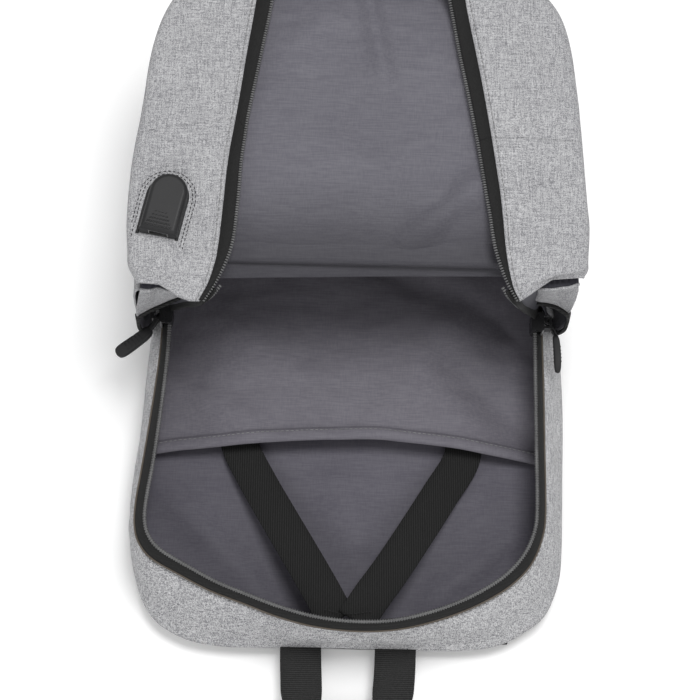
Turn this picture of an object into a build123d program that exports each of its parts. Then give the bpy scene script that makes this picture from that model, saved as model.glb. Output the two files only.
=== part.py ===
from build123d import *
import math
import os

# Laptop backpack with a solar front, lying open on its back. Sizes in millimetres.
# +Z is away from the wearer's back, -Y is the bag's top and +Y its bottom.
# The origin is the middle of the centre back pad's outer face.

# Overall size
bag_width = 300.0
bag_length = 430.0
bag_depth = 150.0
fold_from_bottom = 198.0

# Back panel, pads and shoulder strap layer
pad_layer = 12.0
mesh_skin = 1.2
back_foam_height = 8.8
lining_skin = 1.0
back_corner_r = 70.0
centre_pad_width = 80.0
centre_pad_length = 300.0
lumbar_pad_width = 150.0
lumbar_pad_length = 52.0
pad_corner_r = 14.0

# Walls of the back half and its zipper
wall_thickness = 3.0
wall_height = 37.0
wall_seam_inset = 2.3
rim_side_inset = 18.8
rim_top_inset = 4.0
rim_corner_r = 85.0
rim_left_skew = 16.0
tape_thickness = 1.2
tape_visible = 9.0
chain_thickness = 3.0
chain_height = 3.5

# Closed lower compartment
side_wall_thickness = 4.0
side_pinch = 14.0
side_pinch_height = 73.0
bottom_wall_thickness = 4.0
front_cover_skin = 2.0
front_foam_height = 5.0
bottom_corner_r = 20.0

# Laptop sleeve and the elastic straps above it
sleeve_space = 11.0
sleeve_thickness = 4.0
sleeve_half_width = 134.0
sleeve_from_top = 142.0
hem_width = 9.0
hem_skin = 1.2
welt_width = 4.0
elastic_width = 25.0
elastic_thickness = 1.5
elastic_low_x = 80.0
elastic_high_x = 15.5
elastic_high_z = 51.0
anchor_size = (62.0, 3.0, 13.0)

# Bottle pockets
pocket_skin = 2.0
pocket_from_fold = 0.5
pocket_binding_width = 4.0
pocket_top_gap = 2.0

# Front flap, its layers and its walls
flap_shortfall = 2.0
flap_corner_r = 90.0
fold_gap = 5.0
flap_cover_skin = 1.5
flap_board_height = 5.0
flap_seam_inset = 1.0
flap_wall_lean = 18.0

# Side gussets of the flap, lying folded inwards
gusset_thickness = 3.5
gusset_outer_inset = 8.0
gusset_closing_gap = 12.5
end_wall_closing_gap = 1.5
gusset_tape_width = 10.0
gusset_start = 13.0

# Zipper sliders and pulls
slider_length = 14.0
slider_width = 9.0
slider_skirt = 6.5
slider_crown = 2.5
slider_from_fold = 13.0
bridge_reach = 5.5
bridge_length = 8.0
bridge_height = 8.0
bridge_bar = 1.6
pull_pin_r = 1.0
pull_leg = 10.0
pull_cord_length = 14.0
pull_cord_width = 6.0
pull_cord_thickness = 2.6
pull_grip_length = 25.0
pull_grip_r = 3.9
pull_droop = 10.0
left_pull_turn = 45.0
right_pull_turn = 20.0
stop_size = (4.0, 3.0, 6.0)

# Carrying handle
handle_leg_width = 30.0
handle_base_gap = 37.0
handle_crown_gap = 28.0
handle_reach = 68.0
handle_thickness = 4.0
handle_z = 16.0
handle_grip_thickness = 9.0
handle_tab_depth = 4.0

# Shoulder straps
strap_inner_x = 47.0
strap_outer_x = 121.0
strap_root_y = -201.0
strap_end_y = 62.0
yoke_depth = 9.7
yoke_height = 6.0
lock_width = 34.0
lock_length = 24.0
lock_thickness = 5.0
lock_bar = 3.5
webbing_width = 25.0
webbing_thickness = 1.8
webbing_x = 98.0
webbing_end_y = 190.0
tab_width = 42.0
tab_height = 8.0

# Charging port on the left gusset
port_width = 25.0
port_length = 42.0
port_height = 11.0
port_from_fold = 28.0
port_from_gusset_edge = 14.5
port_tilt = -12.0
socket_width = 13.2
socket_height = 5.6
socket_depth = 18.0
socket_wall = 0.5
tongue_size = (11.0, 13.5, 1.8)

# Solar module on the flap's outer face
solar_width = 206.0
solar_from_fold = 38.0
solar_from_end = 36.0
solar_border_width = 10.0
solar_backing_height = 1.2
solar_cell_height = 0.4
solar_cover_height = 0.5
cell_columns = 4
cell_rows = 2
cell_gap = 2.5
cell_edge = 4.0
controller_size = (60.0, 34.0, 3.8)

# Clearances
clear = 0.3
pivot_clear = 0.3
slide_clear = 0.6
flop_clear = 0.6

# Levels and lines worked out from the sizes above
half_width = bag_width / 2
top_y = -bag_length / 2
bottom_y = bag_length / 2
fold_y = bottom_y - fold_from_bottom
foam_z = pad_layer + mesh_skin
lining_z = foam_z + back_foam_height
floor_z = lining_z + lining_skin
rim_z = floor_z + wall_height
chain_z = rim_z + tape_visible
chain_top_z = chain_z + chain_height
front_inner_z = bag_depth - front_cover_skin - front_foam_height - lining_skin
fold_z = bag_depth + fold_gap / 2
flap_z = bag_depth + fold_gap
board_z = flap_z + flap_cover_skin
flap_lining_z = board_z + flap_board_height
flap_top_z = flap_lining_z + lining_skin
flap_end_y = fold_y + bag_length - fold_from_bottom - flap_shortfall
flap_wall_height = (2 * fold_z - flap_top_z - chain_top_z - end_wall_closing_gap
                    - tape_visible - chain_height)
gusset_z = flap_top_z + flop_clear
rim_corner_start = top_y + rim_top_inset + rim_corner_r
flap_corner_start = flap_end_y - flap_corner_r
gusset_outer_x = half_width - gusset_outer_inset
gusset_inner_x = (gusset_outer_x + gusset_tape_width + chain_height
                  - (bag_depth - chain_top_z - gusset_closing_gap))
slider_y = fold_y - slider_from_fold
pocket_start = fold_y - pocket_from_fold
pocket_top_z = front_inner_z - pocket_top_gap
sleeve_mouth_y = top_y + sleeve_from_top
solar_length = flap_end_y - solar_from_end - fold_y - solar_from_fold


def block(x0, x1, y0, y1, z0, z1):
    centre = ((x0 + x1) / 2, (y0 + y1) / 2, (z0 + z1) / 2)
    return Pos(*centre) * Box(x1 - x0, y1 - y0, z1 - z0)


def mirrored(shape):
    return mirror(shape, about=Plane.YZ)


def save(name, *solids):
    # One STEP file for each node.
    piece = solids[0] if len(solids) == 1 else Compound(children=list(solids))
    piece.label = name
    export_step(piece, f"parts/{name}.step")


def outline(half, y0, y1, r0=0.0, r1=0.0, skew=0.0):
    # Bag-shaped face: r0 rounds the corners at y0, r1 those at y1, and skew
    # moves the left corner at y0 outwards.
    corners = [(-half, y1), (-half - skew, y0), (half, y0), (half, y1)]
    face = make_face(Polyline(*corners, close=True))
    if r0:
        face = fillet(face.vertices().group_by(Axis.Y)[0], r0)
    if r1:
        face = fillet(face.vertices().group_by(Axis.Y)[-1], r1)
    return face


def plate(face, z0, z1):
    return extrude(Pos(0, 0, z0) * face, z1 - z0)


def leaning_wall(z0, z1, low, high, thickness):
    # low and high are (half width, y0, y1, r0, r1, skew) at the wall's two edges.
    def shell(inset):
        faces = []
        for z, (half, y0, y1, r0, r1, skew) in ((z0, low), (z1, high)):
            a = y0 + inset if r0 else y0
            b = y1 - inset if r1 else y1
            faces.append(Pos(0, 0, z) * outline(
                half - inset, a, b, max(r0 - inset, 0), max(r1 - inset, 0), skew))
        return loft(faces, ruled=True)
    return shell(0) - shell(thickness)


def back_panel():
    face = outline(half_width - 1, top_y, bottom_y, back_corner_r, bottom_corner_r)
    save("back_cover", plate(face, pad_layer, foam_z))
    save("back_foam", plate(face, foam_z, lining_z))
    save("back_lining", plate(face, lining_z, floor_z))
    pad = RectangleRounded(centre_pad_width, centre_pad_length, pad_corner_r)
    save("centre_pad", plate(pad, 0, pad_layer))
    lumbar = RectangleRounded(lumbar_pad_width, lumbar_pad_length, pad_corner_r)
    lumbar_y = centre_pad_length / 2 + lumbar_pad_length / 2 + 4
    save("lumbar_pad", plate(Pos(0, lumbar_y) * lumbar, 0, pad_layer))


def back_walls():
    low_half = half_width - wall_seam_inset
    high_half = half_width - rim_side_inset
    low = (low_half, top_y + wall_seam_inset, fold_y, back_corner_r, 0, 0)
    high = (high_half, top_y + rim_top_inset, fold_y, rim_corner_r, 0, rim_left_skew)
    ring = leaning_wall(floor_z, rim_z, low, high, wall_thickness)
    reach = bag_width
    split = rim_corner_start
    save("back_wall_top", ring & block(-reach, reach, top_y, split, 0, bag_depth))
    for name, x0, x1 in (("back_wall_right", 0, reach), ("back_wall_left", -reach, 0)):
        save(name, ring & block(x0, x1, split, fold_y - clear, 0, bag_depth))


def rim_ring(thickness, z0, z1):
    # Upright strip standing on the middle of the wall's top edge.
    middle = wall_thickness / 2
    faces = []
    for inset in (middle - thickness / 2, middle + thickness / 2):
        half = half_width - rim_side_inset - inset
        y0 = top_y + rim_top_inset + inset
        faces.append(outline(half, y0, fold_y, rim_corner_r - inset, 0, rim_left_skew))
    strip = plate(faces[0], z0, z1) - plate(faces[1], z0, z1)
    split = rim_corner_start
    top = strip & block(-bag_width, bag_width, top_y, split, z0 - 1, z1 + 1)
    right = strip & block(0, bag_width, split, fold_y - clear, z0 - 1, z1 + 1)
    left = strip & block(-bag_width, 0, split, fold_y - clear, z0 - 1, z1 + 1)
    return top, right, left


def back_zipper():
    save("back_zipper_tape", *rim_ring(tape_thickness, rim_z, chain_z))
    save("back_zipper_chain", *rim_ring(chain_thickness, chain_z, chain_top_z))
    x = half_width - rim_side_inset - wall_thickness / 2
    width, depth, height = stop_size
    stop = block(x - width / 2, x + width / 2, fold_y, fold_y + depth,
                 chain_top_z - height, chain_top_z)
    save("zipper_stops", stop, mirrored(stop))


def side_profile(offset):
    # Outer line of the pinched side wall, moved inwards by offset.
    edge = half_width - 2 - offset
    pinch = edge - side_pinch
    return [(edge, floor_z), (pinch, side_pinch_height), (edge, front_inner_z)]


def lower_compartment():
    outer = side_profile(0)
    inner = side_profile(side_wall_thickness)
    points = outer + inner[::-1]
    wall = make_face(Polyline(*points, close=True))
    y0 = fold_y + stop_size[1] + clear
    y1 = bottom_y - bottom_wall_thickness
    right = extrude(Plane((0, y1, 0), (1, 0, 0), (0, -1, 0)) * wall, y1 - y0)
    save("side_wall_right", right)
    save("side_wall_left", mirrored(right))
    save("bottom_wall", block(-half_width + bottom_corner_r / 2, half_width - bottom_corner_r / 2,
                              y1, bottom_y, floor_z, front_inner_z))
    face = outline(half_width, fold_y + 1, bottom_y, 0, bottom_corner_r)
    foam_low = front_inner_z + lining_skin
    save("front_lower_lining", plate(face, front_inner_z, foam_low))
    save("front_lower_foam", plate(face, foam_low, foam_low + front_foam_height))
    save("front_lower_cover", plate(face, foam_low + front_foam_height, bag_depth))
    roll_r = fold_gap / 2 - pivot_clear
    roll = Pos(0, fold_y, fold_z) * Rot(0, 90, 0) * Cylinder(roll_r, bag_width - 20)
    save("fold_roll", roll)


def laptop_sleeve():
    z0 = floor_z + sleeve_space
    z1 = z0 + sleeve_thickness
    y1 = bottom_y - bottom_wall_thickness - 3
    save("sleeve_panel", plate(outline(sleeve_half_width, sleeve_mouth_y, y1), z0, z1))
    save("sleeve_hem", block(-sleeve_half_width, sleeve_half_width, sleeve_mouth_y,
                             sleeve_mouth_y + hem_width, z1, z1 + hem_skin))
    x1 = sleeve_half_width - 2
    x0 = x1 - welt_width
    side = block(x0, x1, sleeve_mouth_y + 13, y1, floor_z, z0)
    end = block(-x0, x0, y1 - welt_width, y1, floor_z, z0)
    save("sleeve_welts", side, mirrored(side), end)


def elastic_straps():
    # Each strap climbs from under the sleeve's mouth to the anchor on the top wall.
    width, depth, height = anchor_size
    wall_slope = (rim_top_inset - wall_seam_inset) / wall_height
    wall_y = top_y + wall_seam_inset + wall_thickness + wall_slope * wall_height
    anchor_y = wall_y + clear
    save("elastic_anchor", block(-width / 2, width / 2, anchor_y, anchor_y + depth,
                                 elastic_high_z - height / 2, elastic_high_z + height / 2))
    low = Vector(elastic_low_x, sleeve_mouth_y + 11, floor_z + 1.6)
    high = Vector(elastic_high_x, anchor_y + depth + 6.3, elastic_high_z)
    run = high - low
    across = Vector(0, 0, 1).cross(run).normalized()
    plane = Plane(origin=(low + high) * 0.5, x_dir=run, z_dir=run.cross(across))
    right = plane * Box(run.length, elastic_width, elastic_thickness)
    save("elastic_right", right)
    save("elastic_left", mirrored(right))


def bottle_pockets():
    y1 = bottom_y - bottom_corner_r
    x0 = half_width - pocket_skin
    right = block(x0, half_width, pocket_start, y1, floor_z + 1, pocket_top_z)
    save("pocket_right", right)
    save("pocket_left", mirrored(right))
    binding = block(x0 - 0.2, half_width + 0.6, pocket_start - pocket_binding_width,
                    pocket_start, floor_z + 2, pocket_top_z - 1)
    save("pocket_bindings", binding, mirrored(binding))


def front_flap():
    face = outline(half_width, fold_y + 1, flap_end_y, 0, flap_corner_r)
    save("flap_cover", plate(face, flap_z, board_z))
    width, length, height = controller_size
    middle_y = fold_y + solar_from_fold + solar_length / 2
    nest = block(-width / 2 - clear, width / 2 + clear, middle_y - length / 2 - clear,
                 middle_y + length / 2 + clear, board_z, flap_lining_z)
    save("flap_board", plate(face, board_z, flap_lining_z) - nest)
    save("flap_lining", plate(face, flap_lining_z, flap_top_z))
    low_z = board_z + clear
    body = block(-width / 2, width / 2, middle_y - length / 2, middle_y + length / 2,
                 low_z, low_z + height)
    save("charge_controller", fillet(body.edges().filter_by(Axis.Z), 4))


def flap_walls():
    # Upright end wall with its two corners, leaning inwards.
    low_half = half_width - flap_seam_inset
    low_end = flap_end_y - flap_seam_inset
    low = (low_half, fold_y, low_end, 0, flap_corner_r, 0)
    high = (low_half - flap_wall_lean, fold_y, low_end - flap_wall_lean, 0,
            flap_corner_r - 5, 0)
    top_z = flap_top_z + flap_wall_height
    ring = leaning_wall(flap_top_z, top_z, low, high, wall_thickness)
    keep = block(-bag_width, bag_width, flap_corner_start + 1, flap_end_y, 0, 2 * bag_depth)
    save("flap_end_wall", ring & keep)
    for name, thickness, z0, height in (
            ("flap_end_tape", tape_thickness, top_z, tape_visible),
            ("flap_end_chain", chain_thickness, top_z + tape_visible, chain_height)):
        faces = []
        for side in (-1, 1):
            inset = wall_thickness / 2 + side * thickness / 2
            faces.append(outline(high[0] - inset, fold_y, high[2] - inset, 0,
                                 high[4] - inset))
        strip = plate(faces[0], z0, z0 + height) - plate(faces[1], z0, z0 + height)
        save(name, strip & keep)


def side_gussets():
    y0 = fold_y + gusset_start
    y1 = flap_corner_start
    panel = block(gusset_inner_x, gusset_outer_x, y0, y1, gusset_z, gusset_z + gusset_thickness)
    middle_z = gusset_z + gusset_thickness / 2
    tape_x = gusset_inner_x - gusset_tape_width
    tape = block(tape_x, gusset_inner_x, y0, y1,
                 middle_z - tape_thickness / 2, middle_z + tape_thickness / 2)
    chain = block(tape_x - chain_height, tape_x, y0, y1,
                  middle_z - chain_thickness / 2, middle_z + chain_thickness / 2)
    for side, turn in (("right", lambda s: s), ("left", mirrored)):
        save(f"gusset_{side}", turn(panel))
        save(f"gusset_zipper_{side}", turn(tape), turn(chain))


def charging_port():
    # A domed housing: flat at the socket's end, round at the other.
    straight = port_length - port_width / 2
    flat_y = -port_length / 2
    low = Pos(0, flat_y + straight / 2) * Rectangle(port_width, straight)
    dome = Pos(0, flat_y + straight) * Circle(port_width / 2)
    shell = extrude(low + dome, port_height)
    shell = fillet(shell.edges().group_by(Axis.Z)[-1], 3.2)
    mid = port_height / 2 - 0.6
    side = socket_width / 2
    half = socket_height / 2
    nest = block(-side - clear, side + clear, flat_y - 1, flat_y + socket_depth + clear,
                 mid - half - clear, mid + half + clear)
    socket = block(-side, side, flat_y + 0.2, flat_y + socket_depth, mid - half, mid + half)
    socket -= block(-side + socket_wall, side - socket_wall, flat_y - 1,
                    flat_y + socket_depth - 1, mid - half + socket_wall,
                    mid + half - socket_wall)
    width, length, height = tongue_size
    end = flat_y + socket_depth - 1
    tongue = block(-width / 2, width / 2, end - length, end, mid - height / 2, mid + height / 2)
    middle = (port_from_gusset_edge - gusset_outer_x, fold_y + port_from_fold)
    place = Pos(*middle, gusset_z + gusset_thickness) * Rot(0, 0, port_tilt)
    save("port_housing", place * (shell - nest))
    save("port_socket", place * socket)
    save("port_tongue", place * tongue)


def solar_module():
    y0 = fold_y + solar_from_fold
    middle = (0, y0 + solar_length / 2)
    backing_z = flap_z - solar_backing_height
    cell_z = backing_z - solar_cell_height
    cover_z = cell_z - solar_cover_height
    face = Pos(*middle) * RectangleRounded(solar_width, solar_length, 6)
    save("solar_backing", plate(face, backing_z, flap_z))
    cell_width = (solar_width - 2 * cell_edge - (cell_columns - 1) * cell_gap) / cell_columns
    cell_length = (solar_length - 2 * cell_edge - (cell_rows - 1) * cell_gap) / cell_rows
    cells = []
    for column in range(cell_columns):
        for row in range(cell_rows):
            x = -solar_width / 2 + cell_edge + cell_width / 2 + column * (cell_width + cell_gap)
            y = y0 + cell_edge + cell_length / 2 + row * (cell_length + cell_gap)
            cells.append(block(x - cell_width / 2, x + cell_width / 2, y - cell_length / 2,
                               y + cell_length / 2, cell_z, backing_z))
    save("solar_cells", *cells)
    save("solar_cover", plate(face, cover_z, cell_z))
    outer = Pos(*middle) * RectangleRounded(solar_width + 2 * solar_border_width,
                                            solar_length + 2 * solar_border_width, 12)
    inner = Pos(*middle) * RectangleRounded(solar_width + 2 * clear,
                                            solar_length + 2 * clear, 6 + clear)
    save("solar_border", plate(outer, cover_z - 0.3, flap_z) - plate(inner, cover_z - 0.3, flap_z))


def to_left_rim(shape):
    # Mirrors a piece of the right rim and turns it onto the left rim's line.
    rim_x = half_width - rim_side_inset - wall_thickness / 2
    turn = math.degrees(math.atan2(rim_left_skew, fold_y - top_y - rim_top_inset))
    pivot = Pos(-rim_x, fold_y, 0)
    return pivot * Rot(0, 0, -turn) * pivot.inverse() * mirrored(shape)


def zipper_sliders():
    x = half_width - rim_side_inset - wall_thickness / 2
    low = chain_z - slider_skirt
    inner_top = chain_top_z + slide_clear
    high = inner_top + slider_crown
    y0 = slider_y - slider_length / 2
    y1 = slider_y + slider_length / 2
    body = block(x - slider_width / 2, x + slider_width / 2, y0, y1, low, high)
    body = fillet(body.edges().filter_by(Axis.Z), 2.0)
    slot = chain_thickness / 2 + slide_clear
    body -= block(x - slot, x + slot, y0 - 1, y1 + 1, low - 1, inner_top)
    face_x = x + slider_width / 2
    z0 = (low + high) / 2 - bridge_height / 2
    z1 = z0 + bridge_height
    bridge = block(face_x, face_x + bridge_reach, slider_y - bridge_length / 2,
                   slider_y + bridge_length / 2, z0, z1)
    bridge -= block(face_x, face_x + bridge_reach - bridge_bar,
                    slider_y - bridge_length / 2 + bridge_bar,
                    slider_y + bridge_length / 2 - bridge_bar, z0 - 1, z1 + 1)
    right = body + bridge
    save("slider_right", right)
    save("slider_left", to_left_rim(right))

    pin_x = face_x + (bridge_reach - bridge_bar) / 2
    leg_z = pivot_clear + 1.0
    reach = z1 - z0 + 2 * (leg_z + 1.0)
    middle_z = (z0 + z1) / 2

    def pull(turn):
        # Built along +X from its pin, then turned about the pin.
        pin = Cylinder(pull_pin_r, reach)
        ties = []
        for level in (-1, 1):
            z = level * (bridge_height / 2 + leg_z)
            ties.append(block(-1.2, pull_leg, -1.2, 1.2, z - 1, z + 1))
        post = block(pull_leg - 2, pull_leg, -1.2, 1.2, -reach / 2, reach / 2)
        loop = pin + ties[0] + ties[1] + post
        slope = Rot(0, pull_droop, 0)
        half_cord = pull_cord_thickness / 2
        strap = block(0, pull_cord_length, -half_cord, half_cord,
                      -pull_cord_width / 2, pull_cord_width / 2)
        loop += Pos(pull_leg - 0.5, 0, 0) * slope * strap
        grip = Pos(pull_grip_length / 2, 0, 0) * Rot(0, 90, 0) * Cylinder(
            pull_grip_r, pull_grip_length)
        grip = fillet(grip.edges(), pull_grip_r * 0.8)
        grip = slope * Pos(pull_cord_length, 0, 0) * grip
        turned = Rot(0, 0, turn - 90)
        place = Pos(pin_x, slider_y, middle_z) * turned
        return place * loop, place * Pos(pull_leg - 0.5, 0, 0) * grip

    save("pull_right", *pull(right_pull_turn))
    save("pull_left", *[to_left_rim(piece) for piece in pull(left_pull_turn)])


def carrying_handle():
    tab_y = top_y - handle_tab_depth
    half = handle_base_gap / 2 + handle_leg_width
    save("handle_tab", block(-half - 1, half + 1, tab_y, top_y, pad_layer + 1, handle_z + 3))
    axis_y = tab_y - handle_thickness / 2 - pivot_clear
    crown_y = axis_y - handle_reach
    leg_end_y = axis_y - handle_reach * 0.45
    outer = [(half, axis_y), (half - 4, leg_end_y), (handle_crown_gap / 2 + 20, crown_y)]
    inner = [(handle_base_gap / 2, axis_y), (handle_crown_gap / 2 + 1, leg_end_y),
             (handle_crown_gap / 2, crown_y + 20)]
    right = outer + inner[::-1]
    left = [(-x, y) for x, y in right]
    points = outer + [(-x, y) for x, y in outer[::-1]]
    hole = inner + [(-x, y) for x, y in inner[::-1]]
    web = make_face(Polyline(*points, close=True))
    web = fillet(web.vertices().group_by(Axis.Y)[0], 22)
    gap = make_face(Polyline(*hole, close=True))
    gap = fillet(gap.vertices().group_by(Axis.Y)[0], 10)
    low = handle_z - handle_thickness / 2
    loop = plate(web - gap, low, low + handle_thickness)
    for side in (-1, 1):
        x = side * (handle_base_gap / 2 + handle_leg_width / 2)
        end = Pos(x, axis_y, handle_z) * Rot(0, 90, 0) * Cylinder(
            handle_thickness / 2, handle_leg_width)
        loop += end
    grip_zone = block(-half, half, crown_y - 1, crown_y + 20, 0, bag_depth)
    sleeve = plate(offset(web, 2.5) - offset(gap, -2.5), handle_z - handle_grip_thickness / 2,
                   handle_z + handle_grip_thickness / 2)
    sleeve = sleeve & block(-30, 30, crown_y - 5, crown_y + 24, 0, bag_depth)
    core = plate(offset(web, clear) - offset(gap, -clear), low - clear,
                 low + handle_thickness + clear)
    save("handle_webbing", loop)
    save("handle_grip", sleeve - core)


def shoulder_straps():
    yoke_y = strap_root_y - 2.3
    yoke_z = pad_layer - yoke_height
    panel = outline(half_width - 1, top_y, bottom_y, back_corner_r, bottom_corner_r)
    yoke = plate(panel, yoke_z, pad_layer)
    save("strap_yoke", yoke & block(-half_width, half_width, yoke_y - yoke_depth,
                                    yoke_y, yoke_z, pad_layer))
    points = [(strap_inner_x, strap_root_y), (strap_inner_x + 56, strap_root_y),
              (strap_outer_x, -90), (strap_outer_x, 20), (webbing_x + 18, strap_end_y),
              (webbing_x - 18, strap_end_y), (strap_inner_x + 15, 20),
              (strap_inner_x + 5, -90)]
    face = make_face(Polyline(*points, close=True))
    face = fillet(face.vertices(), 10)
    pad = plate(face, clear, pad_layer - clear)
    z0 = pad_layer / 2 - lock_thickness / 2
    y0 = strap_end_y + clear
    lock = block(webbing_x - lock_width / 2, webbing_x + lock_width / 2, y0,
                 y0 + lock_length, z0, z0 + lock_thickness)
    lock = fillet(lock.edges().filter_by(Axis.Z), 3.0)
    slot = (lock_length - 3 * lock_bar) / 2
    for number in range(2):
        start = y0 + lock_bar + number * (slot + lock_bar)
        lock -= block(webbing_x - webbing_width / 2 - 1, webbing_x + webbing_width / 2 + 1,
                      start, start + slot, z0 - 1, z0 + lock_thickness + 1)
    web_z = pad_layer / 2 - webbing_thickness / 2
    web = block(webbing_x - webbing_width / 2, webbing_x + webbing_width / 2,
                y0 + lock_length + clear, webbing_end_y, web_z, web_z + webbing_thickness)
    tab_y = webbing_end_y + clear
    half = tab_width / 2
    low = webbing_width / 2 + 2
    corners = [(webbing_x - low, tab_y), (webbing_x + low, tab_y),
               (webbing_x + half, bottom_y - 4), (webbing_x - half, bottom_y - 4)]
    tab = plate(make_face(Polyline(*corners, close=True)), pad_layer - tab_height, pad_layer)
    for side, turn in (("right", lambda s: s), ("left", mirrored)):
        save(f"strap_pad_{side}", turn(pad))
        save(f"ladder_lock_{side}", turn(lock))
        save(f"strap_webbing_{side}", turn(web))
    save("strap_tabs", tab, mirrored(tab))


def main():
    os.makedirs("parts", exist_ok=True)
    back_panel()
    back_walls()
    back_zipper()
    lower_compartment()
    laptop_sleeve()
    elastic_straps()
    bottle_pockets()
    front_flap()
    flap_walls()
    side_gussets()
    charging_port()
    solar_module()
    zipper_sliders()
    carrying_handle()
    shoulder_straps()


main()
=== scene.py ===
import bpy
import bmesh
import math
import numpy as np
from mathutils import Matrix, Vector, noise
from mathutils.bvhtree import BVHTree


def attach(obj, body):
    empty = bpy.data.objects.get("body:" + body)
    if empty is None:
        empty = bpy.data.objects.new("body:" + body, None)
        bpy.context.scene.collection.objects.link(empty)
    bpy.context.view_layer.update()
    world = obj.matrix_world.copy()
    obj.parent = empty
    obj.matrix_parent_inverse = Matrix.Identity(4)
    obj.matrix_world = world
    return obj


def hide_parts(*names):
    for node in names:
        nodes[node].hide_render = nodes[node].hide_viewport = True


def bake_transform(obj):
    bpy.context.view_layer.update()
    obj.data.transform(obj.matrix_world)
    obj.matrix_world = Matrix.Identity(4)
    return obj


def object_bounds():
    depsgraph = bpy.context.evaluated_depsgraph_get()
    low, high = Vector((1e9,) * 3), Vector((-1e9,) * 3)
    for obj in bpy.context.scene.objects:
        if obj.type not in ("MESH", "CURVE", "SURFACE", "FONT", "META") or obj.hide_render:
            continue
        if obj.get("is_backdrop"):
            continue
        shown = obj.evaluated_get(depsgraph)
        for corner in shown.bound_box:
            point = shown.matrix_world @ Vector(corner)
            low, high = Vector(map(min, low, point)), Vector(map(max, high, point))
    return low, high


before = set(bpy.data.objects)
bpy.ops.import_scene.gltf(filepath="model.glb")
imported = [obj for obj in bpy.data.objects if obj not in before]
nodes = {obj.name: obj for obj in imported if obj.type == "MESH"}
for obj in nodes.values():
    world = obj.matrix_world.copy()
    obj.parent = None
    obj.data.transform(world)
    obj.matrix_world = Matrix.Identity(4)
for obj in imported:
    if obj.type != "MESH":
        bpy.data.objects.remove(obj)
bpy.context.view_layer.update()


# shader helpers

class Wire:
    # one output socket, so that shader maths reads as sums
    def __init__(self, finish, socket):
        self.finish, self.socket = finish, socket

    def maths(self, operation, first, second=None):
        links = {0: first} if second is None else {0: first, 1: second}
        return self.finish.add("ShaderNodeMath", {"operation": operation}, links)

    def __add__(self, other):
        return self.maths("ADD", self, other)

    def __radd__(self, other):
        return self.maths("ADD", other, self)

    def __sub__(self, other):
        return self.maths("SUBTRACT", self, other)

    def __rsub__(self, other):
        return self.maths("SUBTRACT", other, self)

    def __mul__(self, other):
        return self.maths("MULTIPLY", self, other)

    def __rmul__(self, other):
        return self.maths("MULTIPLY", other, self)

    def __pow__(self, other):
        return self.maths("POWER", self, other)

    def wave(self):
        return self.maths("SINE", self)

    def between(self, low, high):
        # 0 below low, 1 above high, smooth in between
        settings = {"interpolation_type": "SMOOTHSTEP"}
        return self.finish.add("ShaderNodeMapRange", settings, {0: self, 1: low, 2: high})


class Finish:
    # one material and its nodes
    def __init__(self, name):
        self.material = bpy.data.materials.new(name)
        self.material.use_nodes = True
        self.tree = self.material.node_tree
        self.shader = self.tree.nodes["Principled BSDF"]
        self.place = self.add("ShaderNodeTexCoord", {}, {}, "Object")

    def add(self, kind, settings, links, output=0):
        node = self.tree.nodes.new(kind)
        for key, value in settings.items():
            setattr(node, key, value)
        for key, value in links.items():
            if isinstance(value, Wire):
                self.tree.links.new(value.socket, node.inputs[key])
            else:
                node.inputs[key].default_value = value
        return Wire(self, node.outputs[output])

    def stretched(self, scale):
        return self.add("ShaderNodeMapping", {}, {"Vector": self.place, "Scale": scale})

    def grain(self, scale, detail=2.0):
        links = {"Vector": self.stretched(scale), "Scale": 1.0, "Detail": detail}
        return self.add("ShaderNodeTexNoise", {}, links)

    def blendColours(self, amount, first, second, mode="MIX"):
        settings = {"data_type": "RGBA", "blend_type": mode}
        return self.add("ShaderNodeMix", settings, {0: amount, 6: first, 7: second}, 2)

    def bump(self, height, strength, distance, under=None):
        links = {"Height": height, "Strength": strength, "Distance": distance}
        if under:
            links["Normal"] = under
        return self.add("ShaderNodeBump", {}, links)

    def surface(self, **values):
        for key, value in values.items():
            name = shaderSockets[key]
            if isinstance(value, Wire):
                self.tree.links.new(value.socket, self.shader.inputs[name])
            else:
                self.shader.inputs[name].default_value = value
        return self.material


shaderSockets = {"colour": "Base Color", "roughness": "Roughness", "normal": "Normal",
                 "metallic": "Metallic", "sheen": "Sheen Weight", "coat": "Coat Weight",
                 "sheenRoughness": "Sheen Roughness", "specular": "Specular IOR Level",
                 "alpha": "Alpha", "coatRoughness": "Coat Roughness", "ior": "IOR",
                 "glow": "Emission Color", "glowStrength": "Emission Strength"}


def grey(level, tint=(0, 0, 0)):
    return (level + tint[0], level + tint[1], level + tint[2], 1.0)


# fabrics and finishes

def heatherCanvas(name, dark, light, tall=1.0):
    # pale canvas: salt and pepper yarns with faint slubs both ways; a low tall draws the
    # yarns out up and down
    cloth = Finish(name)
    pepper = cloth.grain((1900, 1900, 1900 * tall), 1.0)
    blotch = cloth.grain((600, 600, 600 * tall), 2.0)
    slubAcross = cloth.grain((90, 1700, 1700 * tall), 2.0)
    slubAlong = cloth.grain((1700, 90, 1700 * tall), 2.0)
    cloud = cloth.grain((11, 11, 11), 3.0)
    mottle = pepper * 0.46 + blotch * 0.10 + slubAcross * 0.22 + slubAlong * 0.22
    thread = mottle.between(0.40, 0.60)
    colour = cloth.blendColours(thread, grey(dark, (0, 0, 0.012)), grey(light, (0, 0, 0.008)))
    shade = cloth.blendColours(cloud.between(0.3, 0.7), (0.94, 0.94, 0.945, 1), (1, 1, 1, 1))
    colour = cloth.blendColours(1.0, colour, shade, "MULTIPLY")
    weave = slubAcross * 0.5 + slubAlong * 0.5 + pepper * 0.5
    normal = cloth.bump(weave, 0.55, 0.0006)
    return cloth.surface(colour=colour, roughness=0.9, sheen=0.04, sheenRoughness=0.5,
                         specular=0.15, normal=normal)


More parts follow.
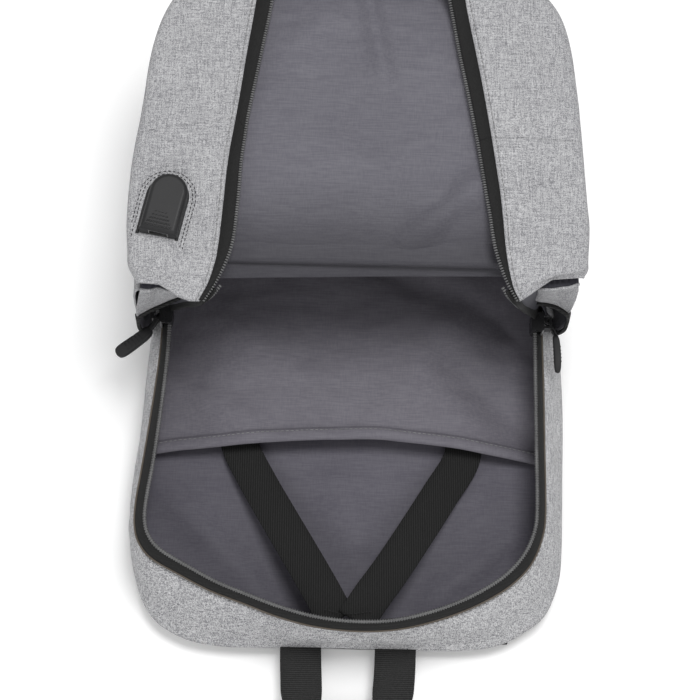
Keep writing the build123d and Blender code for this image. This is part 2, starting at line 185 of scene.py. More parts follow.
def taffeta(name, level, tint=(0, 0, 0.012), gloss=0.62, foldShade=False):
    # thin lining: fine crosswise ripple and a soft sheen
    cloth = Finish(name)
    ripple = cloth.grain((70, 1100, 1100), 2.0)
    warp = cloth.grain((1300, 160, 1300), 1.0)
    crease = cloth.grain((16, 46, 34), 3.0)
    cloud = cloth.grain((9, 9, 9), 2.0)
    tone = ripple * 0.55 + warp * 0.3 + crease * 0.15
    dark = tuple(level * 0.84 + t for t in tint) + (1,)
    pale = tuple(level * 1.14 + t for t in tint) + (1,)
    colour = cloth.blendColours(tone.between(0.3, 0.7), dark, pale)
    shade = cloth.blendColours(cloud.between(0.3, 0.7), grey(0.93), grey(1.0))
    colour = cloth.blendColours(1.0, colour, shade, "MULTIPLY")
    if foldShade:
        # painted shade: darker towards the fold, where the lining rolls down away from the light
        along = cloth.add("ShaderNodeSeparateXYZ", {}, {0: cloth.place}, 1)
        foldShadow = cloth.blendColours(along.between(0.006, 0.082), grey(0.42), grey(1.0))
        colour = cloth.blendColours(1.0, colour, foldShadow, "MULTIPLY")
    fine = cloth.bump(ripple * 0.6 + warp * 0.4, 0.3, 0.0003)
    normal = cloth.bump(crease, 0.12, 0.004, fine)
    return cloth.surface(colour=colour, roughness=gloss, sheen=0.06, sheenRoughness=0.4,
                         specular=0.22, normal=normal)


def ribbed(name, level, pitch, axis, roughness=0.75):
    # narrow woven tape, webbing or elastic: ribs repeat every pitch metres along the axis
    cloth = Finish(name)
    run = cloth.add("ShaderNodeSeparateXYZ", {}, {0: cloth.place}, axis)
    ribs = (run * (2 * math.pi / pitch)).wave()
    yarn = cloth.grain((1400, 1400, 1400), 1.0)
    tone = ribs * 0.28 + yarn * 0.9
    colour = cloth.blendColours(tone.between(0.1, 0.9), grey(level * 0.55), grey(level * 1.6))
    normal = cloth.bump(ribs * 0.5 + yarn * 0.5, 0.6, pitch * 0.22)
    return cloth.surface(colour=colour, roughness=roughness, sheen=0.02, specular=0.2,
                         normal=normal)


def plastic(name, level, roughness, tint=(0, 0, 0.001), depth=0.12):
    # moulded or painted skin, slightly worn
    skin = Finish(name)
    texture = skin.grain((700, 700, 700), 2.0)
    wear = skin.grain((60, 60, 60), 4.0)
    colour = skin.blendColours(wear.between(0.35, 0.75), grey(level, tint), grey(level * 1.35, tint))
    rough = wear.between(0.2, 0.9) * 0.12 + (roughness - 0.06)
    normal = skin.bump(texture, depth, 0.0003)
    return skin.surface(colour=colour, roughness=rough, specular=0.3, normal=normal)


def spacerMesh(name, level):
    # air mesh: small round holes in rows
    cloth = Finish(name)
    cells = cloth.add("ShaderNodeTexVoronoi", {"feature": "F1"},
                      {"Vector": cloth.stretched((300, 300, 300)), "Scale": 1.0,
                       "Randomness": 0.15}, "Distance")
    hole = cells.between(0.18, 0.42)
    yarn = cloth.grain((900, 900, 900), 2.0)
    colour = cloth.blendColours(hole * 0.8 + yarn * 0.2, grey(level * 0.25), grey(level))
    normal = cloth.bump(hole * 0.8 + yarn * 0.2, 0.7, 0.0009)
    return cloth.surface(colour=colour, roughness=0.85, sheen=0.2, normal=normal)


def solarCellGlass(name):
    # dark silicon with fine silver fingers
    skin = Finish(name)
    axis = skin.add("ShaderNodeSeparateXYZ", {}, {0: skin.place}, 1)
    fingers = (axis * (2 * math.pi / 0.0021)).wave().between(0.9, 0.98)
    cloud = skin.grain((90, 90, 90), 3.0)
    silicon = skin.blendColours(cloud, (0.004, 0.007, 0.022, 1), (0.010, 0.016, 0.05, 1))
    colour = skin.blendColours(fingers * 0.55, silicon, (0.35, 0.36, 0.38, 1))
    return skin.surface(colour=colour, roughness=0.28, metallic=fingers * 0.5, coat=0.6,
                        coatRoughness=0.08, specular=0.5)


def metal(name, level, roughness):
    skin = Finish(name)
    brushed = skin.grain((900, 60, 900), 3.0)
    colour = skin.blendColours(brushed, grey(level * 0.8), grey(level))
    return skin.surface(colour=colour, roughness=brushed * 0.15 + roughness, metallic=1.0)


canvas = heatherCanvas("heatherCanvas", 0.195, 0.545)
# the canvas again for the walls, its yarns drawn out up and down, and set lighter as painted light on
# the walls
litWallCanvas = heatherCanvas("litWallCanvas", 0.20, 0.63, 0.3)
# the lining made much darker: painted shade for the hollows, the pocket insides and the web behind the
# tape ends
shadedHollowLining = taffeta("shadedHollowTaffeta", 0.045)
# the same lining as the flap and sleeve, set darker to paint the shade down in the tray and inside the
# bag
liningDark = taffeta("trayTaffeta", 0.098, (0.002, -0.003, 0.018))
# the flap's lining, with painted shade towards its fold
liningMid = taffeta("flapTaffeta", 0.132, (0.002, -0.002, 0.020), 0.62, True)
sleeveCloth = taffeta("sleeveTaffeta", 0.140, (0.003, -0.004, 0.018), 0.66)
tapeCloth = ribbed("zipperTwill", 0.014, 0.0008, 1)
# black nylon coil given a lighter colour: painted highlights on its teeth
coilNylon = plastic("coilNylon", 0.11, 0.3)
bindingCloth = ribbed("bindingTape", 0.022, 0.0015, 1)
elasticCloth = ribbed("ribbedElastic", 0.014, 0.0016, 0, 0.8)
webbingCloth = ribbed("handleWebbing", 0.022, 0.0014, 1, 0.8)
meshCloth = spacerMesh("spacerMesh", 0.075)
seamBrown = plastic("seamEdge", 0.075, 0.8, (0.02, 0.004, -0.012))
threadDark = plastic("darkThread", 0.02, 0.8)
threadGrey = plastic("greyThread", 0.22, 0.85)
blackPlastic = plastic("portPlastic", 0.017, 0.45)
bucklePlastic = plastic("bucklePlastic", 0.020, 0.38)
enamel = plastic("sliderEnamel", 0.022, 0.30, depth=0.05)
pullRubber = plastic("pullRubber", 0.014, 0.55)
socketSteel = metal("socketSteel", 0.62, 0.25)
cellGlass = solarCellGlass("siliconCell")
boardBlack = plastic("solarLaminate", 0.018, 0.35)
filmClear = plastic("solarFilm", 0.03, 0.12)
print("finishes ready")


# mesh helpers

def newPiece(name, points, faces, materials, slots=None):
    mesh = bpy.data.meshes.new(name)
    mesh.from_pydata([tuple(p) for p in points], [], faces)
    for material in materials:
        mesh.materials.append(material)
    if slots is not None:
        for polygon, slot in zip(mesh.polygons, slots):
            polygon.material_index = slot
    mesh.validate()
    mesh.polygons.foreach_set("use_smooth", [True] * len(mesh.polygons))
    mesh.update()
    piece = bpy.data.objects.new(name, mesh)
    bpy.context.scene.collection.objects.link(piece)
    return piece


def gridFaces(rows, columns, closed=False, start=0):
    # four-sided faces between rows of points; closed joins each row's end to its start
    faces = []
    for i in range(rows - 1):
        for j in range(columns if closed else columns - 1):
            here, below = start + i * columns, start + (i + 1) * columns
            beside = (j + 1) % columns
            faces.append((here + j, here + beside, below + beside, below + j))
    return faces


def apply(piece, kind, **settings):
    # adds a modifier and applies it at once
    modifier = piece.modifiers.new(kind.lower(), kind)
    for key, value in settings.items():
        setattr(modifier, key, value)
    graph = bpy.context.evaluated_depsgraph_get()
    mesh = bpy.data.meshes.new_from_object(piece.evaluated_get(graph))
    piece.modifiers.clear()
    old = piece.data
    piece.data = mesh
    bpy.data.meshes.remove(old)
    mesh.polygons.foreach_set("use_smooth", [True] * len(mesh.polygons))
    return piece


def outward(piece):
    # faces the same way out all over
    work = bmesh.new()
    work.from_mesh(piece.data)
    bmesh.ops.recalc_face_normals(work, faces=work.faces)
    work.to_mesh(piece.data)
    work.free()
    return piece


def cloth(name, points, upper, lower, thickness, edge=None, turned=False):
    # a fabric panel from rows x columns of points: upper face, lower face and edge
    points = np.asarray(points, float)
    points = points[:, ::-1] if turned else points
    rows, columns = points.shape[:2]
    across = np.gradient(points, axis=1)
    down = np.gradient(points, axis=0)
    normals = np.cross(across, down)
    length = np.linalg.norm(normals, axis=2, keepdims=True)
    normals = normals / np.where(length < 1e-12, 1, length)
    under = points - normals * thickness
    top = points.reshape(-1, 3)
    count = len(top)
    faces = gridFaces(rows, columns)
    slots = [0] * len(faces)
    below = [tuple(reversed(f)) for f in gridFaces(rows, columns, start=count)]
    faces, slots = faces + below, slots + [1] * len(below)
    rim = ([(0, j) for j in range(columns)] + [(i, columns - 1) for i in range(1, rows)]
           + [(rows - 1, j) for j in range(columns - 2, -1, -1)]
           + [(i, 0) for i in range(rows - 2, 0, -1)])
    ring = [i * columns + j for i, j in rim]
    for a, b in zip(ring, ring[1:] + ring[:1]):
        faces.append((b, a, a + count, b + count))
        slots.append(0 if edge is None else 2)
    materials = [upper, lower] + ([edge] if edge else [])
    return outward(newPiece(name, np.vstack([top, under.reshape(-1, 3)]), faces,
                            materials, slots))


def lump(x, y, z, scale, seed=0.0):
    return noise.noise(Vector((x * scale + seed, y * scale - seed, z * scale + 2 * seed)))


def smooth(low, high, value):
    t = min(max((value - low) / (high - low), 0), 1)
    return t * t * (3 - 2 * t)


def mix(a, b, t):
    return a + (b - a) * t


def foldHeight(x, y, folds):
    # soft ridges and valleys along straight lines: start, end, half width, height
    total = 0.0
    for (ax, ay), (bx, by), width, height in folds:
        dx, dy = bx - ax, by - ay
        length = dx * dx + dy * dy
        t = ((x - ax) * dx + (y - ay) * dy) / length
        far = math.hypot(x - ax - dx * t, y - ay - dy * t)
        ends = smooth(-0.35, 0.1, t) * (1 - smooth(0.9, 1.35, t))
        total += height * ends * math.exp(-(far / width) ** 2)
    return total


def curveThrough(points, count):
    # evenly spaced points along a smooth curve through the given ones
    points = np.asarray(points, float)
    padded = np.vstack([2 * points[0] - points[1], points, 2 * points[-1] - points[-2]])
    fine = []
    for k in range(1, len(padded) - 2):
        p0, p1, p2, p3 = padded[k - 1:k + 3]
        for t in np.linspace(0, 1, 24, endpoint=False):
            fine.append(0.5 * (2 * p1 + (p2 - p0) * t + (2 * p0 - 5 * p1 + 4 * p2 - p3) * t ** 2
                               + (3 * p1 - p0 - 3 * p2 + p3) * t ** 3))
    fine.append(points[-1])
    fine = np.array(fine)
    steps = np.linalg.norm(np.diff(fine, axis=0), axis=1)
    distance = np.concatenate([[0], np.cumsum(steps)])
    wanted = np.linspace(0, distance[-1], count)
    return np.array([[np.interp(w, distance, fine[:, k]) for k in range(3)] for w in wanted])


def pathFrames(path, up):
    # tangent and sideways direction at each point of a path
    path = np.asarray(path, float)
    tangents = np.gradient(path, axis=0)
    tangents /= np.linalg.norm(tangents, axis=1, keepdims=True)
    up = np.broadcast_to(np.asarray(up, float), path.shape)
    sides = np.cross(tangents, up)
    sides /= np.linalg.norm(sides, axis=1, keepdims=True)
    ups = np.cross(sides, tangents)
    return tangents, sides, ups


def pathLength(path):
    return float(np.linalg.norm(np.diff(np.asarray(path), axis=0), axis=1).sum())


def tube(name, path, radius, material, sides=8):
    across, ups = pathFrames(path, (0, 0, 1))[1:]
    points = []
    for p, s, u in zip(path, across, ups):
        for k in range(sides):
            a = 2 * math.pi * k / sides
            points.append(p + s * radius * math.cos(a) + u * radius * math.sin(a))
    rows = len(path)
    faces = gridFaces(rows, sides, closed=True)
    faces += [tuple(range(sides)), tuple(reversed(range((rows - 1) * sides, rows * sides)))]
    return outward(newPiece(name, points, faces, [material]))


def ribbon(name, path, width, thickness, material, up=(0, 0, 1)):
    # flat strap with rounded edges along a path
    across, ups = pathFrames(path, up)[1:]
    half = [(-0.5, -0.3), (-0.485, -0.5), (-0.25, -0.5), (0, -0.5), (0.25, -0.5), (0.485, -0.5),
            (0.5, -0.3)]
    outline = half + [(-x, -y) for x, y in half]
    widths = np.broadcast_to(np.asarray(width, float), (len(path),))
    thick = np.broadcast_to(np.asarray(thickness, float), (len(path),))
    points = []
    for p, s, u, w, t in zip(path, across, ups, widths, thick):
        points += [p + s * x * w + u * y * t for x, y in outline]
    rows, columns = len(path), len(outline)
    faces = gridFaces(rows, columns, closed=True)
    faces += [tuple(range(columns)), tuple(reversed(range((rows - 1) * columns, rows * columns)))]
    return outward(newPiece(name, points, faces, [material]))


def join(name, pieces):
    # one piece from several, keeping their materials
    points, faces, slots, materials = [], [], [], []
    for piece in pieces:
        start = len(points)
        points += [tuple(piece.matrix_world @ v.co) for v in piece.data.vertices]
        index = []
        for material in piece.data.materials:
            if material not in materials:
                materials.append(material)
            index.append(materials.index(material))
        for polygon in piece.data.polygons:
            faces.append(tuple(start + v for v in polygon.vertices))
            slots.append(index[polygon.material_index])
    for piece in pieces:
        bpy.data.objects.remove(piece)
    return newPiece(name, points, faces, materials, slots)


def beads(name, path, pitch, size, material, up=(0, 0, 1)):
    # small rounded lumps in a row: stitches or zipper coil turns
    count = max(int(pathLength(path) / pitch), 2)
    spots = curveThrough(path, count) if len(path) > 2 else np.array(
        [mix(np.asarray(path[0]), np.asarray(path[1]), t) for t in np.linspace(0, 1, count)])
    tangents, across, ups = pathFrames(spots, up)
    unit = []
    for along, ring in ((-1, 0.0), (-0.82, 0.75), (0, 1.0), (0.82, 0.75), (1, 0.0)):
        for k in range(6):
            a = math.pi / 3 * k
            unit.append((along, ring * math.cos(a), ring * math.sin(a)))
    unitFaces = gridFaces(5, 6, closed=True)
    points, faces = [], []
    for p, t, s, u in zip(spots, tangents, across, ups):
        faces += [tuple(len(points) + i for i in f) for f in unitFaces]
        points += [p + t * x * size[0] / 2 + s * y * size[1] / 2 + u * z * size[2] / 2
                   for x, y, z in unit]
    return newPiece(name, points, faces, [material])


def finishPiece(piece, body, slot, *replaced):
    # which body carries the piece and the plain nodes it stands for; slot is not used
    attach(piece, body)
    if replaced:
        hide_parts(*replaced)
    return piece


# camera, light, floor

view = {"target": (-0.0016, -0.0151, 0.060), "distance": 1.342, "elevation": 71.37,
        "azimuth": -5.64, "roll": 6.62, "lens": 98.0}


def setCamera():
    data = bpy.data.cameras.new("camera")
    camera = bpy.data.objects.new("camera", data)
    bpy.context.scene.collection.objects.link(camera)
    e, a = math.radians(view["elevation"]), math.radians(view["azimuth"])
    back = Vector((math.sin(a) * math.cos(e), -math.cos(a) * math.cos(e), math.sin(e)))
    camera.location = Vector(view["target"]) + back * view["distance"]
    look = (-back).to_track_quat("-Z", "Y").to_matrix()
    roll = math.radians(view["roll"])
    camera.rotation_mode = "QUATERNION"
    camera.rotation_quaternion = (look @ Matrix.Rotation(roll, 3, "Z")).to_quaternion()
    data.sensor_width = 36
    data.lens = view["lens"]
    data.clip_start, data.clip_end = 0.05, 50
    bpy.context.scene.camera = camera


studio = {"sky": 0.34, "paperGlow": 0.09, "paperHalf": 4.0, "paperHeight": -0.002,
          "lamps": {"key": ((0.26, 0.26, 2.1), 0.9, 26),     # place, size, power
                    "front": ((0.0, -1.7, 1.2), 1.1, 11),
                    "left": ((-1.6, -0.1, 1.3), 1.2, 5),
                    "right": ((1.5, 0.1, 1.3), 1.2, 3)}}


def setLights():
    world = bpy.data.worlds.new("studio")
    world.use_nodes = True
    background = world.node_tree.nodes["Background"]
    background.inputs[0].default_value = (1, 1, 1, 1)
    background.inputs[1].default_value = studio["sky"]
    bpy.context.scene.world = world
    for name, (place, size, power) in studio["lamps"].items():
        data = bpy.data.lights.new(name, "AREA")
        data.shape, data.size, data.energy = "DISK", size, power
        lamp = bpy.data.objects.new(name, data)
        lamp.location = place
        lamp.rotation_mode = "QUATERNION"
        lamp.rotation_quaternion = (Vector((0, 0, 0.08)) - Vector(place)).to_track_quat("-Z", "Y")
        bpy.context.scene.collection.objects.link(lamp)


def setFloor():
    half, height = studio["paperHalf"], studio["paperHeight"]
    paper = Finish("paper").surface(colour=grey(0.97), roughness=0.9, glow=grey(1.0),
                                    glowStrength=studio["paperGlow"])
    corners = [(x * half, y * half, height) for x, y in ((-1, -1), (1, -1), (1, 1), (-1, 1))]
    newPiece("floor", corners, [(0, 1, 2, 3)], [paper])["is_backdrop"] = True


setCamera()
setLights()
setFloor()
bpy.context.scene.view_settings.view_transform = "Standard"
print("camera, lights and floor ready")


def mm(*rows):
    # points given in millimetres
    return np.array(rows, float) * 0.001


stitchPitch, coilPitch = 0.0034, 0.00175


# the open tray: floor lining, back walls and the back panel's piping

# the foot of the walls, their tape seam and their zipper rim, left to right round the top
wallFoot = mm((-141, 22, 24), (-143.5, -20, 24), (-146.5, -66, 24), (-150, -105, 24),
              (-151, -128, 24), (-151, -147, 24), (-147.5, -165, 24), (-140, -183, 24),
              (-127, -197, 24), (-107, -207.5, 24), (-85, -212.5, 24), (-58, -215, 24),
              (-30, -216, 24), (0, -216.5, 24), (30, -216.5, 24), (58, -215.5, 24),
              (84, -213, 24), (104, -208, 24), (121, -198.5, 24), (135, -186, 24),
              (144, -165, 24), (147, -143, 24), (148.5, -90, 24), (149.5, -38, 24),
              (148, 22, 24))
wallSeam = mm((-132.5, 20, 62), (-133.5, -20, 62), (-138, -66, 62), (-142.5, -103, 62),
              (-145.5, -126, 62), (-146, -143, 62), (-142.5, -156, 62), (-133, -167, 62),
              (-114, -177.5, 62), (-93, -188, 62), (-71, -196, 62), (-48, -204.5, 62),
              (-24, -210.5, 62), (3, -213.3, 62), (30, -212, 62), (56, -206, 62),
              (78, -198, 62), (96, -189, 62), (111, -178.5, 62), (123, -165, 62),
              (130.5, -147, 62), (133, -128, 62), (133.2, -80, 62), (133.2, -35, 62),
              (132.8, 20, 62))
wallRim = mm((-128.5, 20, 70.5), (-128.5, -20, 70.5), (-131.8, -66, 70.5), (-135.5, -103, 70.5),
             (-138.5, -125, 70.5), (-139.5, -141, 70.5), (-136.5, -153, 70.5),
             (-128, -163, 70.5), (-110, -173.5, 70.5), (-90, -184, 70.5), (-68.5, -192.5, 70.5),
             (-46, -200.5, 70.5), (-22.5, -206.5, 70.5), (3, -209.2, 70.5), (29, -208, 70.5),
             (54, -202, 70.5), (75, -194, 70.5), (92, -185, 70.5), (106.5, -174.5, 70.5),
             (118, -161, 70.5), (125, -145, 70.5), (127, -127, 70.5), (127.3, -80, 70.5),
             (127.6, -35, 70.5), (128, 20, 70.5))
wallCount = 240


def matched(known, count):
    # smooth line through the given points, which share their spacing with other lines
    known = np.asarray(known)
    padded = np.vstack([2 * known[0] - known[1], known, 2 * known[-1] - known[-2]])
    line = []
    for s in np.linspace(0, len(known) - 1, count):
        k = min(int(s), len(known) - 2)
        t = s - k
        p0, p1, p2, p3 = padded[k:k + 4]
        line.append(0.5 * (2 * p1 + (p2 - p0) * t + (2 * p0 - 5 * p1 + 4 * p2 - p3) * t ** 2
                           + (3 * p1 - p0 - 3 * p2 + p3) * t ** 3))
    return np.array(line)


footLine, seamLine, rimLine = (matched(k, wallCount) for k in (wallFoot, wallSeam, wallRim))


def footHalf(y, side):
    # half width of the back panel at y, on the left (-1) or right (1)
    part = wallFoot[:13] if side < 0 else wallFoot[13:][::-1]
    order = part[np.argsort(part[:, 1])]
    return abs(np.interp(y, order[:, 1], order[:, 0]))


def wallGrid(levels, outset, bulge, crumple, seed):
    # rows up the wall: 0 is its foot, 1 the tape seam, 2 the zipper rim
    centre = np.array([0, -0.03, 0])
    rows = []
    for level, out in zip(levels, outset):
        low, high = (footLine, seamLine) if level < 1 else (seamLine, rimLine)
        share = level if level < 1 else level - 1
        row = low * (1 - share) + high * share
        away = (row - centre) * (1, 1, 0)
        away /= np.linalg.norm(away, axis=1, keepdims=True)
        arch = math.sin(math.pi * min(max(level, 0), 1))
        wave = np.array([lump(p[0], p[1], p[2] * 1.5, 28, seed) for p in row])
        fine = np.array([lump(p[0], p[1], p[2], 95, seed + 4) for p in row])
        swell = out + bulge * arch + crumple * arch ** 0.7 * (wave + 0.4 * fine)
        rows.append(row + away * swell[:, None])
    return np.array(rows)


wallSeed = 3.0
outerLevels = [-0.28, -0.2, 0.0, 0.12, 0.24, 0.36, 0.48, 0.6, 0.72, 0.84, 0.93, 1.0]
outerWall = cloth("backWallCanvas", wallGrid(outerLevels, [0.0006, 0.0010, 0.0008] + [0] * 9,
                                             0.0030, 0.0024, wallSeed), litWallCanvas, liningDark, 0.0012)
finishPiece(outerWall, "root", "grey_canvas", "back_wall_left", "back_wall_right",
            "back_wall_top")
innerLevels = [-0.01, 0.02, 0.12, 0.25, 0.38, 0.5, 0.62, 0.75, 0.88, 0.97, 1.1]
innerWall = cloth("backWallLining", wallGrid(innerLevels, [-0.012, -0.006, -0.0035] +
                                             [-0.003] * 5 + [-0.0028, -0.0026, -0.0022],
                                             -0.0025, 0.0052, 11.0), liningDark, liningDark,
                  0.0005)
finishPiece(innerWall, "root", "lining")
rimTape = cloth("backZipperTape", wallGrid([0.97, 1.0, 1.2, 1.4, 1.6, 1.8, 1.97],
                                           [0.0003, 0.0007, 0.0013, 0.0013, 0.0009, 0.0005, 0],
                                           0, 0, wallSeed), tapeCloth, tapeCloth, 0.0009)
finishPiece(rimTape, "root", "zipper_tape", "back_zipper_tape")
backTeeth = beads("backZipperTeeth", rimLine, 0.0018, (0.0012, 0.0032, 0.0026), coilNylon)
coreCord = tube("coilCore", rimLine + (0, 0, -0.0004), 0.0009, coilNylon, 6)
finishPiece(join("backZipperTeethRow", [backTeeth, coreCord]), "root", "zipper_coil",
            "back_zipper_chain")
seamCord = tube("rimTapeSeam", wallGrid([1.0], [0.0011], 0, 0, wallSeed)[0], 0.0007, seamBrown, 6)
finishPiece(seamCord, "root", "zipper_edge")
wallStitch = beads("rimStitches", wallGrid([0.94], [0.0004], 0.0032, 0.0024, wallSeed)[0],
                   stitchPitch, (0.0024, 0.0006, 0.0006), threadGrey)
finishPiece(wallStitch, "root", "grey_canvas")
piping = tube("backPanelPiping", footLine * (1, 1, 0) + (0, 0, 0.0135), 0.0019, bindingCloth, 8)
finishPiece(piping, "root", "binding")

# floor lining with soft wrinkles
tray = {"top": -0.2115, "bottom": 0.206, "height": 0.0254, "inset": 0.005,
        "folds": [((-0.120, -0.120), (-0.060, -0.180), 0.012, 0.0030),
                  ((0.090, -0.110), (0.040, -0.150), 0.014, 0.0026),
                  ((-0.010, -0.100), (0.010, -0.150), 0.016, 0.0024),
                  ((0.060, -0.185), (0.115, -0.140), 0.010, 0.0028),
                  ((-0.040, -0.190), (-0.090, -0.130), 0.012, -0.0012)]}
floorRows = []
for y in np.linspace(tray["top"], tray["bottom"], 150):
    low, high = -footHalf(y, -1) + tray["inset"], footHalf(y, 1) - tray["inset"]
    row = []
    for x in np.linspace(low, high, 110):
        rise = 0.0016 * lump(x, y, 0, 16, 2.0) + 0.0007 * lump(x * 0.6, y * 1.8, 0, 45, 7.0)
        rise += foldHeight(x, y, tray["folds"])
        row.append((x, y, tray["height"] + rise))
    floorRows.append(row)
trayFloor = cloth("trayFloorLining", floorRows, liningDark, liningDark, 0.0008)
finishPiece(trayFloor, "root", "lining", "back_lining")
print("tray ready")


# laptop sleeve

mouthLine = mm((-137, -86, 41), (-120, -83.5, 40), (-90, -81, 39.5), (-63, -78.5, 40),
               (-18, -75.5, 40), (16, -74.5, 40), (35, -75.5, 40), (72, -79, 39.5),
               (101, -83.5, 40), (126, -87, 41), (137, -89, 42))
sleeve = {"bottom": 0.206, "height": 0.0385, "lowest": 0.0285, "half": 0.137,
          "folds": [((0.070, -0.015), (0.135, -0.074), 0.015, -0.0050),
                    ((0.010, 0.060), (0.135, 0.010), 0.012, -0.0030),
                    ((-0.140, -0.030), (-0.070, -0.062), 0.010, 0.0028),
                    ((-0.100, 0.020), (-0.020, -0.040), 0.016, 0.0020),
                    ((0.020, -0.060), (0.070, 0.010), 0.012, 0.0022)]}
mouthCurve = curveThrough(mouthLine, 120)
sleeveRows = []
for v in np.linspace(0, 1, 130):
    row = []
    for x, mouthY, _ in mouthCurve:
        y = mix(mouthY, sleeve["bottom"], v)
        squeeze = mix(1, 134 / 137, min(v * 4, 1))
        side = smooth(0.070, sleeve["half"], abs(x)) * mix(0.55, 1, smooth(0, 0.35, v))
        arch = math.sin((x / sleeve["half"] + 1) / 2 * math.pi)
        z = sleeve["height"] + 0.0022 * arch - 0.0105 * side
        z += foldHeight(x, y, sleeve["folds"])
        z += 0.0013 * lump(x, y, 0, 20, 5.0) + 0.0006 * lump(x, y * 1.6, 0, 60, 9.0)
        z = max(z + 0.0018 * (1 - smooth(0, 0.05, v)), sleeve["lowest"])
        row.append((x * squeeze, y, z))
    sleeveRows.append(row)
sleevePanel = cloth("sleevePanel", sleeveRows, sleeveCloth, liningDark, 0.0026, sleeveCloth)
finishPiece(sleevePanel, "root", "sleeve_fabric", "sleeve_panel", "sleeve_welts")

hemRows = np.array(sleeveRows)[[0, 0, 1, 2, 3, 4, 4]]
lift = np.array([-0.0012, 0.0010, 0.0015, 0.0016, 0.0014, 0.0008, -0.0002])
hemRows[:, :, 2] += lift[:, None]
hemRows[0, :, 1] -= 0.0006
hemRows[1, :, 1] -= 0.0011
hem = cloth("sleeveHem", hemRows, sleeveCloth, sleeveCloth, 0.0004)
hemThread = beads("sleeveHemStitches", np.array(sleeveRows)[3] + np.array([0, 0, 0.0019]),
                  stitchPitch, (0.0024, 0.0005, 0.0005), threadGrey)
finishPiece(join("sleeveHemFold", [hem, hemThread]), "root", "sleeve_fabric", "sleeve_hem")
print("sleeve ready")


# crossed elastics

elastics = {"width": 0.026, "thickness": 0.0016,
            "left": mm((-80, -62, 28.5), (-77.5, -79, 30.5), (-64, -106, 35), (-46.5, -137, 42),
                       (-30, -166, 49), (-18.5, -187, 55), (-8.5, -206.5, 58.5)),
            "right": mm((82, -62, 28.5), (79, -86, 30.5), (64, -112, 36), (46, -142, 43.5),
                        (28.5, -170, 51), (15, -190, 57.5), (4, -207.5, 60.5))}
for side in ("left", "right"):
    line = curveThrough(elastics[side], 60)
    strap = ribbon("elastic" + side.title(), line, elastics["width"], elastics["thickness"],
                   elasticCloth)
    finishPiece(strap, "root", "elastic", "elastic_" + side)
patch = ribbon("elasticAnchorPatch", mm((-31, -204.5, 55), (-15, -207.3, 56), (0, -208.6, 56.5),
                                        (14, -208.4, 56), (30, -206, 55)), 0.012, 0.0022,
               elasticCloth, up=(0, 0.93, 0.36))
patchStitch = beads("patchStitch", mm((-16, -200, 61.2), (-2, -203, 62.2), (14, -201, 62.8)),
                    0.0022, (0.0018, 0.0006, 0.0005), threadDark)
finishPiece(join("elasticAnchorStitched", [patch, patchStitch]), "root", "elastic",
            "elastic_anchor")
print("elastics ready")


# closed lower compartment

sideProfile = mm((148, 0, 13), (149, 0, 22), (148, 0, 36), (144, 0, 52), (138, 0, 65),
                 (134.5, 0, 73), (138, 0, 82), (143.5, 0, 95), (147.3, 0, 112),
                 (149.3, 0, 128), (149.8, 0, 140), (148.6, 0, 147), (144, 0, 150.3))


# half widths of its top, which stays under the flap's round end: left (-1) and right (1)
topLimit = {-1: mm((147, 0), (147.5, 60), (145, 95), (140.5, 125), (136.5, 150), (131, 170),
                   (121, 190), (107, 205), (96, 216)),
            1: mm((147, 0), (148, 60), (146, 95), (142.5, 130), (139, 155), (134, 178),
                  (124, 196), (110, 208), (98, 216))}
lowerBox = {"half": 0.150, "foot": 0.013, "end": 0.2147, "corner": 0.020, "cornerStart": 0.196,
         "skirt": 0.0022, "panel": 0.1503, "thickness": 0.0034}


def sideShare(y, z, sign):
    # share of the full half width that is left at this place
    limit = np.interp(y, topLimit[sign][:, 1], topLimit[sign][:, 0])
    high = smooth(0.080, 0.146, z)
    near = 1 - 0.045 * (1 - smooth(0.02, 0.085, y)) * (1 - smooth(0.03, 0.12, z)) * (sign < 0)
    return mix(1, limit / lowerBox["half"], high) * near


def cornerInset(y):
    # how far the rounded bottom corners draw in
    past = max(0, y - lowerBox["cornerStart"])
    return lowerBox["corner"] - math.sqrt(max(lowerBox["corner"] ** 2 - past ** 2, 0))


def wallX(y, z, sign):
    # half width of the lower compartment at this place
    width = np.interp(z, sideProfile[:, 2], sideProfile[:, 0])
    width *= (lowerBox["half"] - cornerInset(y)) / lowerBox["half"]
    return width * sideShare(y, z, sign) + lowerBox["skirt"] * (1 - smooth(0.022, 0.045, z))


def compartmentSection(y):
    # one arch of cloth: up the right side, over the front panel and down the left
    half = curveThrough(sideProfile, 44)
    front = [(x, 0, lowerBox["panel"] + 0.0007 * lump(x, y, 0, 22, 1.0))
             for x in np.linspace(0.139, -0.139, 70)]
    ring = np.vstack([half, front, half[::-1] * (-1, 1, 1)])
    inset = cornerInset(y)
    shares = np.array([sideShare(y, p[2], -1 if p[0] < 0 else 1) for p in ring])
    ring[:, 0] *= (lowerBox["half"] - inset) / lowerBox["half"] * shares
    ring[:, 2] = lowerBox["foot"] + (ring[:, 2] - lowerBox["foot"]) * (1 - inset * 0.9)
    ring[:, 1] = y
    ripple = np.array([lump(p[0], y, p[2], 26, 8.0) for p in ring])
    above = np.array([smooth(0.022, 0.045, p[2]) for p in ring])
    ring[:, 0] += np.sign(ring[:, 0]) * (0.0012 * ripple * above * (np.abs(ring[:, 0]) > 0.12)
                                         + lowerBox["skirt"] * (1 - above))
    return ring


